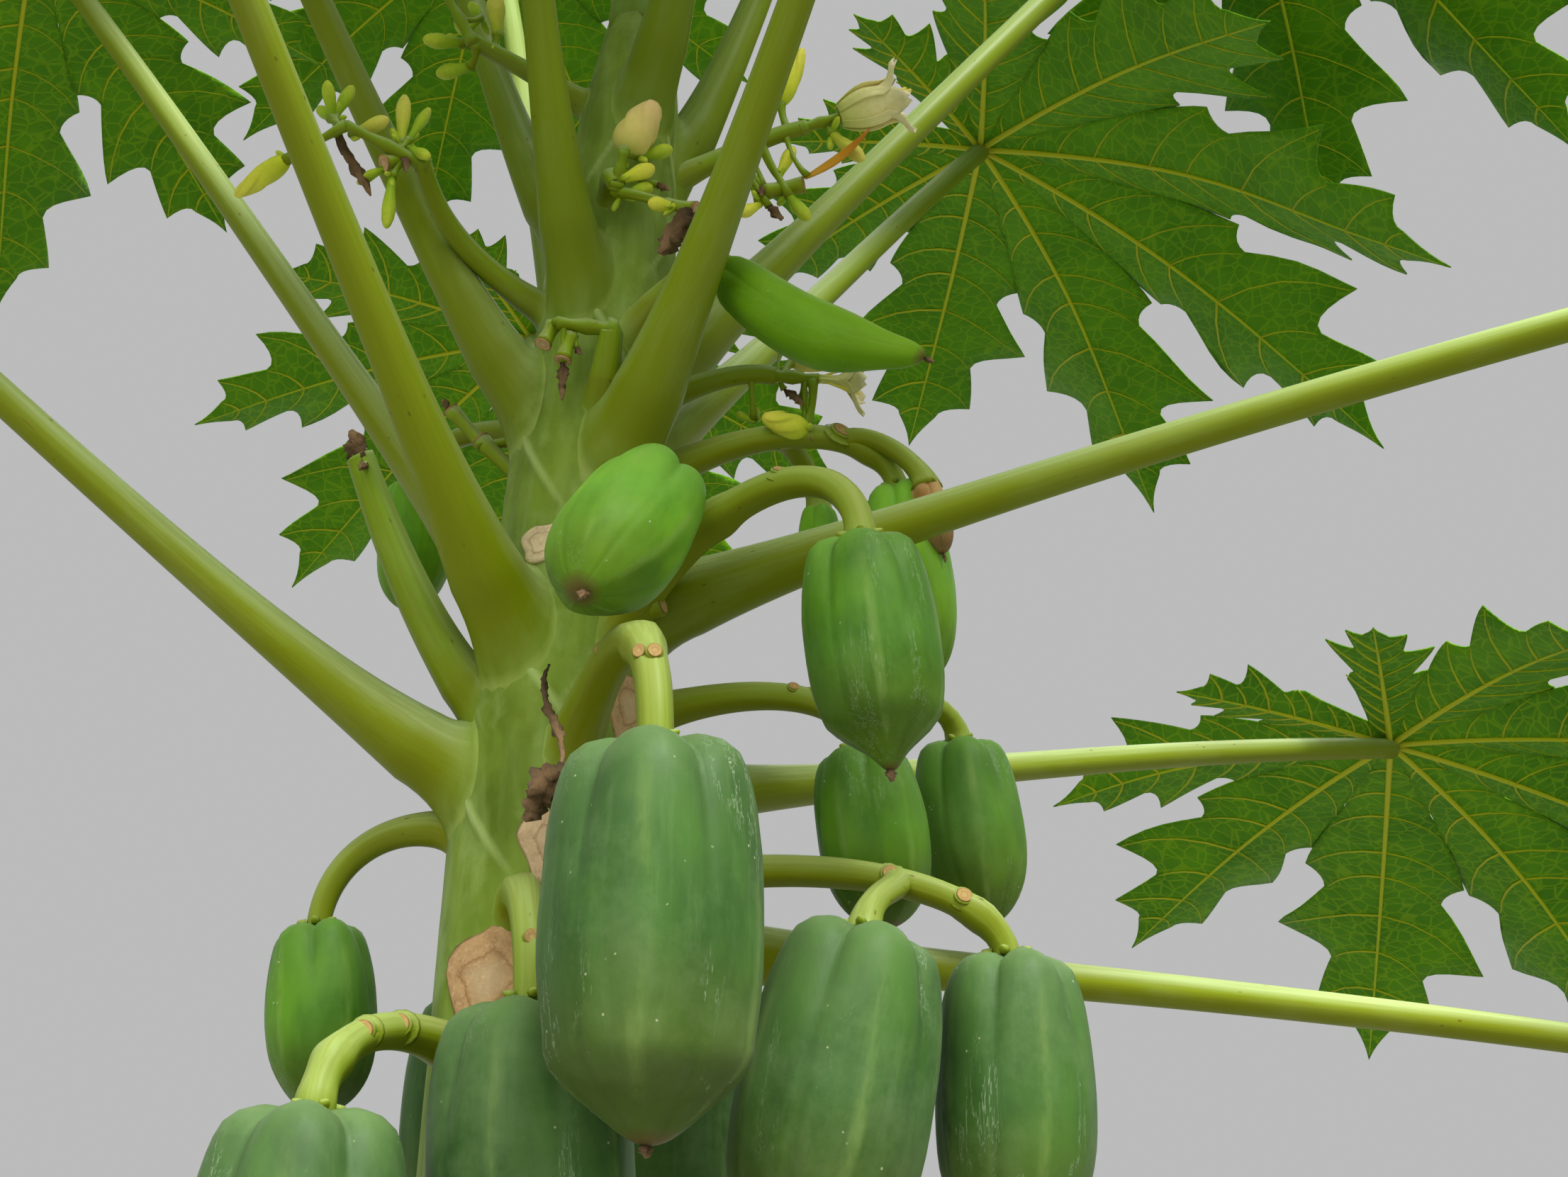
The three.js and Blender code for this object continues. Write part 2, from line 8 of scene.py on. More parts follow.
import logging
import math
import random
import sys
from collections.abc import Callable, Sequence
from dataclasses import dataclass, field, replace
from enum import Enum

import bmesh
import bpy
import numpy as np
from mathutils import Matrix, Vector, noise

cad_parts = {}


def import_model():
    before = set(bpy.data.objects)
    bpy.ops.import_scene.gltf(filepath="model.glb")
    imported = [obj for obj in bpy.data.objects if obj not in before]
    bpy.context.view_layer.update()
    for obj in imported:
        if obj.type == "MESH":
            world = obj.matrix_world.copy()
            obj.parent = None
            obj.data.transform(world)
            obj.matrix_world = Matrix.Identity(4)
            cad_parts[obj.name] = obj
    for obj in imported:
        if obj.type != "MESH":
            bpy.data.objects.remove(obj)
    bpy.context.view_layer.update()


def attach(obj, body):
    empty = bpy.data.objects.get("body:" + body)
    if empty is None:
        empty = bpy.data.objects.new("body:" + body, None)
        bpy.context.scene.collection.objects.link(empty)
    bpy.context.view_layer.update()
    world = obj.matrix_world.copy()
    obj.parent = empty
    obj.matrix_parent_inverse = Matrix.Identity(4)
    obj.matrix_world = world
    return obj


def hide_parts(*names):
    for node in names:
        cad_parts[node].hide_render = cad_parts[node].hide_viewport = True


LOG = logging.getLogger("papaya_tree")
UP = np.array((0.0, 0.0, 1.0))
Colour = tuple[float, float, float]


def heading(azimuth: float, rise: float) -> np.ndarray:
    """Gives the unit direction of an azimuth and a rise.

    Args:
        azimuth: Angle round the stem, in degrees.
        rise: Angle above the level, in degrees.

    Returns:
        The direction as three numbers.
    """
    turn = math.radians(azimuth)
    climb = math.radians(rise)
    return np.array((math.cos(climb) * math.cos(turn), math.cos(climb) * math.sin(turn), math.sin(climb)))


def unit(ways: np.ndarray) -> np.ndarray:
    """Gives directions of length one."""
    return ways / np.maximum(np.linalg.norm(ways, axis=-1, keepdims=True), 1e-12)


def mix(start: float, end: float, share: float) -> float:
    """Gives the value at a share of the way from start to end."""
    return start + (end - start) * share


def smooth(share: np.ndarray) -> np.ndarray:
    """Gives shares that start and end gently, kept from 0 to 1."""
    kept = np.clip(share, 0.0, 1.0)
    return kept * kept * (3.0 - 2.0 * kept)


def bell(off: np.ndarray, width: float) -> np.ndarray:
    """Gives 1 where a distance is nothing, and less to both sides of it."""
    return np.exp(-((off / width) ** 2))


def apart(angle: np.ndarray, azimuth: float) -> np.ndarray:
    """Gives how far angles in radians lie from an azimuth, from minus pi to pi."""
    return np.angle(np.exp(1j * (angle - math.radians(azimuth))))


def paint(red: int, green: int, blue: int) -> Colour:
    """Gives a colour of 0 to 255 parts as the linear parts that a shader takes."""
    return tuple(((part / 255 + 0.055) / 1.055) ** 2.4 for part in (red, green, blue))


class Bezier:
    """Curve through any number of control points, read by shares of its own length."""

    def __init__(self, *controls: np.ndarray, steps: int = 240) -> None:
        """Samples the curve.

        Args:
            controls: Control points, the first and last of them on the curve.
            steps: Number of short pieces that its length is measured on.
        """
        share = np.linspace(0.0, 1.0, steps + 1)[:, None]
        rows = [np.repeat(np.asarray(point, float)[None], steps + 1, axis=0) for point in controls]
        while len(rows) > 1:
            rows = [one * (1 - share) + other * share for one, other in zip(rows, rows[1:])]
        self.samples = rows[0]
        runs = np.linalg.norm(np.diff(self.samples, axis=0), axis=1)
        self.runs = np.concatenate(([0.0], np.cumsum(runs)))
        self.length = float(self.runs[-1])

    def points(self, shares: np.ndarray) -> np.ndarray:
        """Gives the points at shares of the length."""
        where = np.asarray(shares, float) * self.length
        return np.stack([np.interp(where, self.runs, self.samples[:, axis]) for axis in range(3)], axis=-1)

    def point(self, share: float) -> np.ndarray:
        """Gives the point at one share of the length."""
        return self.points(np.array([share]))[0]

    def way(self, share: float) -> np.ndarray:
        """Gives the direction of travel at one share of the length."""
        near = np.clip(np.array([share - 0.01, share + 0.01]), 0.0, 1.0)
        ends = self.points(near)
        return unit(ends[1] - ends[0])


@dataclass(frozen=True)
class StemForm:
    """Middle line and thickness of the stem, as its solid has them."""

    bend: float = 1.85
    sway: tuple[float, float] = (0.015, 0.008)
    lean: float = 0.028
    lean_span: float = 0.55
    lean_power: float = 1.3
    top: float = 2.405
    flare_lobes: int = 5
    flare_depth: float = 0.12
    flare_fade: float = 0.09
    levels: tuple[float, ...] = (0, 0.06, 0.2, 0.8, 1.5, 1.82, 1.98, 2.12, 2.22, 2.34, 2.405)
    radii: tuple[float, ...] = (0.104, 0.088, 0.075, 0.065, 0.054, 0.048, 0.045, 0.039, 0.036, 0.029, 0.02)

    def middle(self, height: np.ndarray | float) -> np.ndarray:
        """Gives the middle of the stem at one height or several."""
        tall = np.asarray(height, float)
        wave = np.sin(np.pi * tall / self.bend)
        above = np.maximum(0.0, (tall - self.bend) / self.lean_span)
        east = self.lean * above**self.lean_power - self.sway[0] * wave
        return np.stack([east, self.sway[1] * wave, tall], axis=-1)

    def radius(self, height: np.ndarray | float) -> np.ndarray:
        """Gives the plain radius of the stem at one height or several."""
        return np.interp(height, self.levels, self.radii)

    def beside(self, azimuth: float, out: float, height: float) -> np.ndarray:
        """Gives the point at a distance out from the middle of the stem."""
        return self.middle(height) + heading(azimuth, 0) * out

    def around(self, angle: np.ndarray, out: np.ndarray, height: np.ndarray) -> np.ndarray:
        """Gives points at angles in radians and distances out from the middle of the stem."""
        return self.middle(height) + np.stack([np.cos(angle) * out, np.sin(angle) * out, 0 * out], axis=-1)

    def clearance(self, points: np.ndarray) -> np.ndarray:
        """Gives how far points stand out from the plain stem, less than 0 inside it."""
        middle = self.middle(points[..., 2])
        out = np.hypot(points[..., 0] - middle[..., 0], points[..., 1] - middle[..., 1])
        return out - self.radius(np.clip(points[..., 2], 0, self.top))


STEM = StemForm()


@dataclass(frozen=True)
class Leaf:
    """One full leaf: where its stalk leaves the stem, how it climbs, and its blade's reach."""

    azimuth: float
    height: float
    base: float
    rise: float
    length: float
    reach: float
    turn: float = 0.0
    knee: float = 0.03
    sag: float = 0.06
    pitch: float = -20.0

    def curve(self) -> Bezier:
        """Gives the middle line of the stalk, from inside the stem to the blade."""
        start = STEM.middle(self.height)
        knee = start + heading(self.azimuth, self.base) * (STEM.radius(self.height) + self.knee)
        half = knee + heading(self.azimuth, self.rise) * self.length / 2
        tip = knee + heading(self.azimuth, self.rise) * self.length - UP * self.sag * self.length
        return Bezier(start, knee, half, tip)

    def blade_ways(self) -> tuple[np.ndarray, np.ndarray, np.ndarray]:
        """Gives the ways forward, aside and up from the blade's hub."""
        forward = heading(self.azimuth + self.turn, self.pitch)
        aside = heading(self.azimuth + self.turn + 90, 0)
        return forward, aside, np.cross(forward, aside)

    @property
    def youth(self) -> float:
        """Gives 0 for a leaf at the bottom of the crown and 1 for one at its top."""
        return float(np.clip((self.height - 1.85) / 0.5, 0, 1))


LEAVES = (
    Leaf(15, 1.85, 0, 0, 0.8, 0.38),
    Leaf(190, 1.92, 0, 44, 0.8, 0.38),
    Leaf(40, 1.93, 0, 18, 0.725, 0.4),
    Leaf(235, 1.98, 20, 56, 0.8, 0.38),
    Leaf(152, 2.005, 40, 56, 0.8, 0.35),
    Leaf(345, 2.01, 20, 14, 0.76, 0.38),
    Leaf(100, 2.03, 20, 43, 0.76, 0.35),
    Leaf(310, 2.09, 10, 62, 0.76, 0.36),
    Leaf(58, 2.11, 20, 49, 0.68, 0.41, turn=-40),
    Leaf(196, 2.12, 20, 67, 0.73, 0.29),
    Leaf(25, 2.14, 40, 54, 0.74, 0.36),
    Leaf(110, 2.15, 20, 64, 0.72, 0.29),
    Leaf(250, 2.19, 10, 76, 0.58, 0.27),
    Leaf(84, 2.22, 30, 75, 0.73, 0.23),
    Leaf(155, 2.24, 20, 75, 0.68, 0.24),
    Leaf(20, 2.27, 30, 76, 0.6, 0.215),
    Leaf(300, 2.32, 15, 72, 0.6, 0.23),
)


class Skin(Enum):
    """Skins that the fruit have, from the oldest to the youngest."""

    WAXY = 0
    GREEN = 1
    BRIGHT = 2
    YOUNG = 3
    ROTTEN = 4


class Side(Enum):
    """Sides of the tree that the fruit are joined by."""

    FRONT = "front"
    RIGHT = "right"
    LEFT = "left"
    BACK = "back"


@dataclass(frozen=True)
class Fruit:
    """One fruit: where its top is, its size and lean, and how its stalk comes down on it.

    The beak, belly and nose are how far its tip is drawn out, it swells low down and it
    narrows below that, and the bow is how far it bends to one side.
    """

    azimuth: float
    out: float
    height: float
    length: float
    width: float
    lean: float
    toward: float
    hang: float
    skin: Skin
    beak: float = 0.0
    bow: float = 0.0
    branch: tuple[float, float, float, float] | None = None
    spin: float = 0.0
    belly: float = 0.0
    nose: float = 0.0

    @property
    def top(self) -> np.ndarray:
        """Gives the point where the stalk meets the fruit."""
        return STEM.beside(self.azimuth, self.out, self.height)

    @property
    def way(self) -> np.ndarray:
        """Gives the direction from the fruit's top to its tip."""
        return heading(self.toward, self.lean - 90)


@dataclass(frozen=True)
class Bunch:
    """One forked fruit stalk with its fruit."""

    name: str
    side: Side
    azimuth: float
    height: float
    rise: float
    push: float
    radius: tuple[float, float]
    fruit: tuple[Fruit, ...]


BUNCHES = (
    Bunch("fruit_bunch_front", Side.FRONT, 295, 1.905, 48, 0.11, (0.011, 0.007), (
        Fruit(290, 0.199, 1.897, 0.175, 0.097, 0, 0, 0.095, Skin.WAXY, spin=22, belly=0.15, nose=0.35),
    )),
    Bunch("fruit_bunch_right_upper", Side.FRONT, 316, 1.95, 58, 0.15, (0.01, 0.006), (
        Fruit(322, 0.195, 2.022, 0.12, 0.066, 6, 0, 0.075, Skin.GREEN, spin=42, belly=0.06, nose=1.0),
        Fruit(299, 0.107, 2.064, 0.114, 0.064, 40, 245, 0.03, Skin.BRIGHT, branch=(0.38, 270, 40, 0.03)),
    )),
    Bunch("fruit_bunch_right_top", Side.RIGHT, 350, 2.075, 42, 0.12, (0.008, 0.005), (
        Fruit(1, 0.173, 2.106, 0.118, 0.048, 6, 350, 0.04, Skin.BRIGHT),
        Fruit(14, 0.134, 2.106, 0.042, 0.024, 0, 0, 0.02, Skin.BRIGHT, branch=(0.6, 60, 10, 0.02)),
        Fruit(355, 0.188, 2.1, 0.044, 0.02, 12, 0, 0.012, Skin.ROTTEN, branch=(0.78, 345, 20, 0.02)),
    )),
    Bunch("fruit_bunch_right_middle", Side.RIGHT, 5, 1.95, 30, 0.09, (0.0085, 0.0055), (
        Fruit(353, 0.162, 1.947, 0.096, 0.058, 8, 0, 0.045, Skin.GREEN),
        Fruit(13, 0.222, 1.972, 0.106, 0.058, 6, 330, 0.035, Skin.GREEN, branch=(0.75, 20, 15, 0.05)),
    )),
    Bunch("fruit_bunch_right_lower", Side.RIGHT, 325, 1.862, 12, 0.12, (0.009, 0.006), (
        Fruit(348, 0.242, 1.832, 0.145, 0.077, 0, 0, 0.05, Skin.WAXY),
        Fruit(329, 0.193, 1.833, 0.166, 0.09, 12, 200, 0.025, Skin.WAXY, branch=(0.72, 300, -30, 0.015)),
    )),
    Bunch("fruit_bunch_front_left", Side.FRONT, 253, 1.833, 45, 0.06, (0.009, 0.0065), (
        Fruit(276, 0.101, 1.801, 0.165, 0.095, 4, 20, 0.075, Skin.WAXY),
    )),
    Bunch("fruit_bunch_left_lower", Side.LEFT, 225, 1.765, 35, 0.08, (0.009, 0.007), (
        Fruit(238, 0.146, 1.747, 0.168, 0.098, 4, 250, 0.05, Skin.WAXY),
    )),
    Bunch("fruit_bunch_left", Side.LEFT, 172, 1.875, 55, 0.07, (0.008, 0.005), (
        Fruit(171, 0.118, 1.863, 0.098, 0.057, 6, 0, 0.06, Skin.GREEN),
    )),
    Bunch("fruit_bunch_left_back", Side.LEFT, 128, 2.124, 35, 0.08, (0.007, 0.005), (
        Fruit(137, 0.158, 2.158, 0.084, 0.046, 4, 90, 0.045, Skin.BRIGHT),
    )),
    Bunch("young_fruit", Side.FRONT, 292, 2.128, 62, 0.085, (0.007, 0.0045), (
        Fruit(327, 0.082, 2.214, 0.132, 0.036, 58, 345, 0.022, Skin.YOUNG, beak=0.9, bow=-0.09),
    )),
    Bunch("fruit_bunch_back_lower", Side.BACK, 80, 1.835, 40, 0.09, (0.01, 0.007), (
        Fruit(66, 0.165, 1.838, 0.168, 0.092, 3, 70, 0.06, Skin.WAXY),
        Fruit(108, 0.152, 1.85, 0.142, 0.078, 4, 110, 0.035, Skin.WAXY, branch=(0.6, 150, 10, 0.04)),
    )),
    Bunch("fruit_bunch_back_upper", Side.BACK, 92, 1.965, 45, 0.08, (0.008, 0.006), (
        Fruit(96, 0.14, 1.985, 0.106, 0.06, 3, 90, 0.05, Skin.GREEN),
    )),
)


@dataclass(frozen=True)
class Spray:
    """One flower spray: its stalk's two ends, the rachis that goes on, and its open flower.

    The ribs are the number and the height of those on its stalk, and star says whether its
    flower's petals spread flat, rather than stand in a bell.
    """

    name: str
    azimuth: float
    height: float
    rise: float
    push: float
    radius: tuple[float, float]
    end: tuple[float, float, float]
    rachis: tuple[float, float, float]
    bloom: float = 0.0
    star: bool = False
    ribs: tuple[int, float] = (5, 0.04)


SPRAYS = (
    Spray("flower_spray_left", 195, 2.195, 20, 0.06, (0.007, 0.0045), (216, 0.124, 2.264),
          (200, 20, 0.046)),
    Spray("flower_spray_top_left", 190, 2.335, 30, 0.03, (0.006, 0.004), (203, 0.1, 2.37),
          (195, 60, 0.034)),
    Spray("flower_spray_front", 268, 2.262, 20, 0.025, (0.005, 0.004), (275, 0.055, 2.262),
          (297, 60, 0.02)),
    Spray("flower_spray_right", 5, 2.28, 35, 0.06, (0.006, 0.004), (2, 0.104, 2.339),
          (355, 18, 0.024), 0.046),
    Spray("flower_spray_right_lower", 345, 2.135, 25, 0.045, (0.006, 0.0045), (353, 0.1, 2.166),
          (0, -4, 0.026), 0.034, star=True),
    Spray("spent_stalk_left", 195, 1.945, 20, 0.015, (0.013, 0.006), (196, 0.122, 2.104),
          (200, 60, 0.012), ribs=(6, 0.08)),
    Spray("spent_stalk_front", 285, 2.112, 30, 0.012, (0.007, 0.005), (282, 0.056, 2.172),
          (195, 0, 0.03)),
)


def points_of(body: bpy.types.Object) -> np.ndarray:
    """Gives the places of an object's points."""
    places = np.zeros(len(body.data.vertices) * 3)
    body.data.vertices.foreach_get("co", places)
    return places.reshape(-1, 3)


def store(mesh: bpy.types.Mesh, name: str, values: np.ndarray) -> None:
    """Stores one number for each point of a mesh."""
    mesh.attributes.new(name, "FLOAT", "POINT").data.foreach_set("value", values)


class Shape:
    """Mesh in the making, gathered from parts that are joined into one piece.

    Each point also has a grain, its place as if the part it is on were straight, and the
    numbers along (0 at the foot and 1 at the tip), edge (1 at a foot's rim, in a groove or at
    a middle) and tint, which sets one part's colour off from the next. The piece adds upward,
    1 where the skin faces up and 0 where it faces down.
    """

    NUMBERS = ("along", "edge", "tint")

    def __init__(self) -> None:
        """Starts with nothing."""
        self._points: list[np.ndarray] = []
        self._faces: list[Sequence[int]] = []
        self._finishes: list[int] = []
        self._grain: list[np.ndarray] = []
        self._numbers: dict[str, list[np.ndarray]] = {name: [] for name in self.NUMBERS}
        self._count = 0

    @property
    def parts(self) -> int:
        """Gives the number of parts so far."""
        return len(self._points)

    def add(self, points: np.ndarray, faces: Sequence[Sequence[int]], finish: int = 0,
            grain: np.ndarray | None = None, **numbers: np.ndarray | float) -> None:
        """Adds a part.

        Args:
            points: Points, in any grid of rows of three numbers.
            faces: Faces, by the numbers of this part's own points.
            finish: Number of the finish that its faces take.
            grain: Place of each point on the straightened part, or None for its own place.
            numbers: The along, edge and tint of its points, each one number or one a point.
        """
        shown = np.asarray(points, float)
        grid = shown.shape[:-1]
        flat = shown.reshape(-1, 3)
        first = self._count
        self._points.append(flat)
        self._faces.extend([first + corner for corner in face] for face in faces)
        self._finishes.extend([finish] * len(faces))
        self._grain.append(flat if grain is None else np.asarray(grain, float).reshape(-1, 3))
        for name in self.NUMBERS:
            value = np.asarray(numbers.get(name, 0.0), float)
            self._numbers[name].append(np.broadcast_to(value, grid).reshape(-1))
        self._count += len(flat)

    def add_rings(self, rings: np.ndarray, finish: int = 0, grain: np.ndarray | None = None,
                  **numbers: np.ndarray | float) -> None:
        """Adds a closed skin through rings that turn anticlockwise about their way forward.

        Args:
            rings: Points, ring by ring, each of equal count.
            finish: Number of the finish.
            grain: Place of each point on the straightened part.
            numbers: The along, edge and tint of its points.
        """
        count, sides = rings.shape[:2]
        here = np.arange(count * sides).reshape(count, sides)
        beside = np.roll(here, -1, axis=1)
        quads = np.stack([here[:-1], beside[:-1], beside[1:], here[1:]], axis=-1).reshape(-1, 4)
        faces = [*quads.tolist(), here[0, ::-1].tolist(), here[-1].tolist()]
        self.add(rings, faces, finish, grain, **numbers)

    def add_tube(self, line: np.ndarray, radii: np.ndarray, sides: int, along: np.ndarray | float,
                 finish: int = 0, ribs: tuple[int, float] = (0, 0.0), tint: float = 0.0,
                 shift: float = 0.0) -> None:
        """Adds a closed tube round a line.

        Args:
            line: Points of the line.
            radii: Radius at each of them.
            sides: Number of its sides.
            along: Number along, one for all or one a point of the line.
            finish: Number of the finish.
            ribs: Number and height of its ribs.
            tint: Number that sets its colour off.
            shift: Distance that its grain is moved lengthwise.
        """
        rings, grain = tube_rings(line, radii, sides, ribs)
        self.add_rings(rings, finish, grain + (0, 0, shift), along=np.reshape(along, (-1, 1)), tint=tint)

    def piece(self, name: str, finishes: Sequence[bpy.types.Material]) -> bpy.types.Object:
        """Makes the gathered parts one mesh object.

        Args:
            name: Name of the piece.
            finishes: Its materials, in the order of their numbers.

        Returns:
            The new object, at the origin.
        """
        mesh = bpy.data.meshes.new(name)
        mesh.from_pydata(np.concatenate(self._points), [], self._faces)
        mesh.polygons.foreach_set("material_index", self._finishes)
        mesh.polygons.foreach_set("use_smooth", [True] * len(self._faces))
        grain = mesh.attributes.new("grain", "FLOAT_VECTOR", "POINT")
        grain.data.foreach_set("vector", np.concatenate(self._grain).ravel())
        for label, rows in self._numbers.items():
            store(mesh, label, np.concatenate(rows))
        normals = np.zeros(3 * self._count)
        mesh.vertex_normals.foreach_get("vector", normals)
        # Share of the skin that faces up, by which the stalk and fruit finishes paint light on their tops and
        # shade on their undersides.
        store(mesh, "top_light", 0.5 + 0.5 * normals[2::3])
        for material in finishes:
            mesh.materials.append(material)
        body = bpy.data.objects.new(name, mesh)
        bpy.context.scene.collection.objects.link(body)
        return body


def deselect() -> None:
    """Leaves nothing selected."""
    for body in list(bpy.context.selected_objects):
        body.select_set(False)


def select(body: bpy.types.Object) -> None:
    """Selects one object alone and makes it the active one."""
    deselect()
    body.select_set(True)
    bpy.context.view_layer.objects.active = body


def finish_modifier(body: bpy.types.Object, kind: str, **settings: object) -> None:
    """Adds a modifier to an object and applies it.

    Args:
        body: Object that is changed.
        kind: Blender's name for the kind of modifier.
        settings: Values for the modifier's own settings.
    """
    select(body)
    modifier = body.modifiers.new(kind.title(), kind)
    for name, value in settings.items():
        setattr(modifier, name, value)
    bpy.ops.object.modifier_apply(modifier=modifier.name)


def select_points(body: bpy.types.Object, wanted: Callable[[Vector], bool]) -> None:
    """Selects the points of a mesh in edit mode by their place.

    Args:
        body: Object in edit mode.
        wanted: Says of a place whether it is selected.
    """
    bpy.ops.mesh.select_all(action="DESELECT")
    shape = bmesh.from_edit_mesh(body.data)
    for point in shape.verts:
        point.select_set(wanted(point.co))
    shape.select_flush(True)
    bmesh.update_edit_mesh(body.data)


def extruded_rings(sides: int, profile: Sequence[tuple[float, float]],
                   closed: bool = True) -> bpy.types.Object:
    """Models a round body up the Z axis: a circle is extruded and resized station by station.

    Args:
        sides: Number of sides of the circle.
        profile: Height and width at each station, from the lowest up.
        closed: Whether both end circles are drawn together to a pole.

    Returns:
        The new object, in object mode.
    """
    deselect()
    (level, width), *stations = profile
    bpy.ops.mesh.primitive_circle_add(vertices=sides, radius=width / 2, location=(0, 0, 0))
    body = bpy.context.object
    bpy.ops.object.mode_set(mode="EDIT")
    bpy.ops.mesh.select_all(action="SELECT")
    bpy.ops.transform.translate(value=(0, 0, level))
    for station, across in stations:
        bpy.ops.mesh.extrude_region_move(TRANSFORM_OT_translate={"value": (0, 0, station - level)})
        ratio = across / width
        bpy.ops.transform.resize(value=(ratio, ratio, 1), center_override=(0, 0, station))
        level, width = station, across
    if closed:
        bpy.ops.mesh.merge(type="COLLAPSE")
        low = profile[0][0]
        near = (profile[1][0] - low) / 2
        select_points(body, lambda place: place.z < low + near)
        bpy.ops.mesh.merge(type="COLLAPSE")
    bpy.ops.mesh.select_all(action="SELECT")
    bpy.ops.mesh.normals_make_consistent(inside=False)
    bpy.ops.object.mode_set(mode="OBJECT")
    return body


@dataclass(frozen=True)
class Template:
    """Small shape that is modelled once and copied: its points and faces."""

    points: np.ndarray
    faces: tuple[tuple[int, ...], ...]

    @classmethod
    def taken(cls, body: bpy.types.Object) -> "Template":
        """Reads a modelled object and removes it.

        Args:
            body: The modelled object.

        Returns:
            Its shape.
        """
        points = points_of(body)
        faces = tuple(tuple(face.vertices) for face in body.data.polygons)
        bpy.data.objects.remove(body)
        return cls(points, faces)

    def placed(self, foot: np.ndarray, way: np.ndarray, length: float, width: float,
               spin: float = 0.0) -> np.ndarray:
        """Gives the points of a copy that stands along a direction.

        Args:
            foot: Place of the copy's lower end.
            way: Direction that its Z axis takes.
            length: Its length along that direction.
            width: Its width across it.
            spin: Turn about that direction, in degrees.

        Returns:
            The points of the copy.
        """
        across, over = cross_ways(way)
        turned = across * math.cos(math.radians(spin)) + over * math.sin(math.radians(spin))
        beside = np.cross(way, turned)
        scaled = self.points * (width, width, length)
        return foot + scaled @ np.stack([turned, beside, way])


def cross_ways(way: np.ndarray) -> tuple[np.ndarray, np.ndarray]:
    """Gives a level direction across a way and one at right angles to both."""
    level = np.array((-way[1], way[0], 0.0))
    across = unit(level) if level @ level > 1e-6 else np.array((1.0, 0.0, 0.0))
    return across, np.cross(way, across)


def dress(body: bpy.types.Object, nodes: Sequence[str] = ()) -> bpy.types.Object:
    """Lets a finished piece ride on the tree and stand for its solids.

    Args:
        body: The piece.
        nodes: Solids that it stands for.

    Returns:
        The piece.
    """
    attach(body, "root")
    if nodes:
        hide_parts(*nodes)
    triangles = sum(len(face.vertices) - 2 for face in body.data.polygons)
    LOG.info("%s: %d triangles", body.name, triangles)
    return body


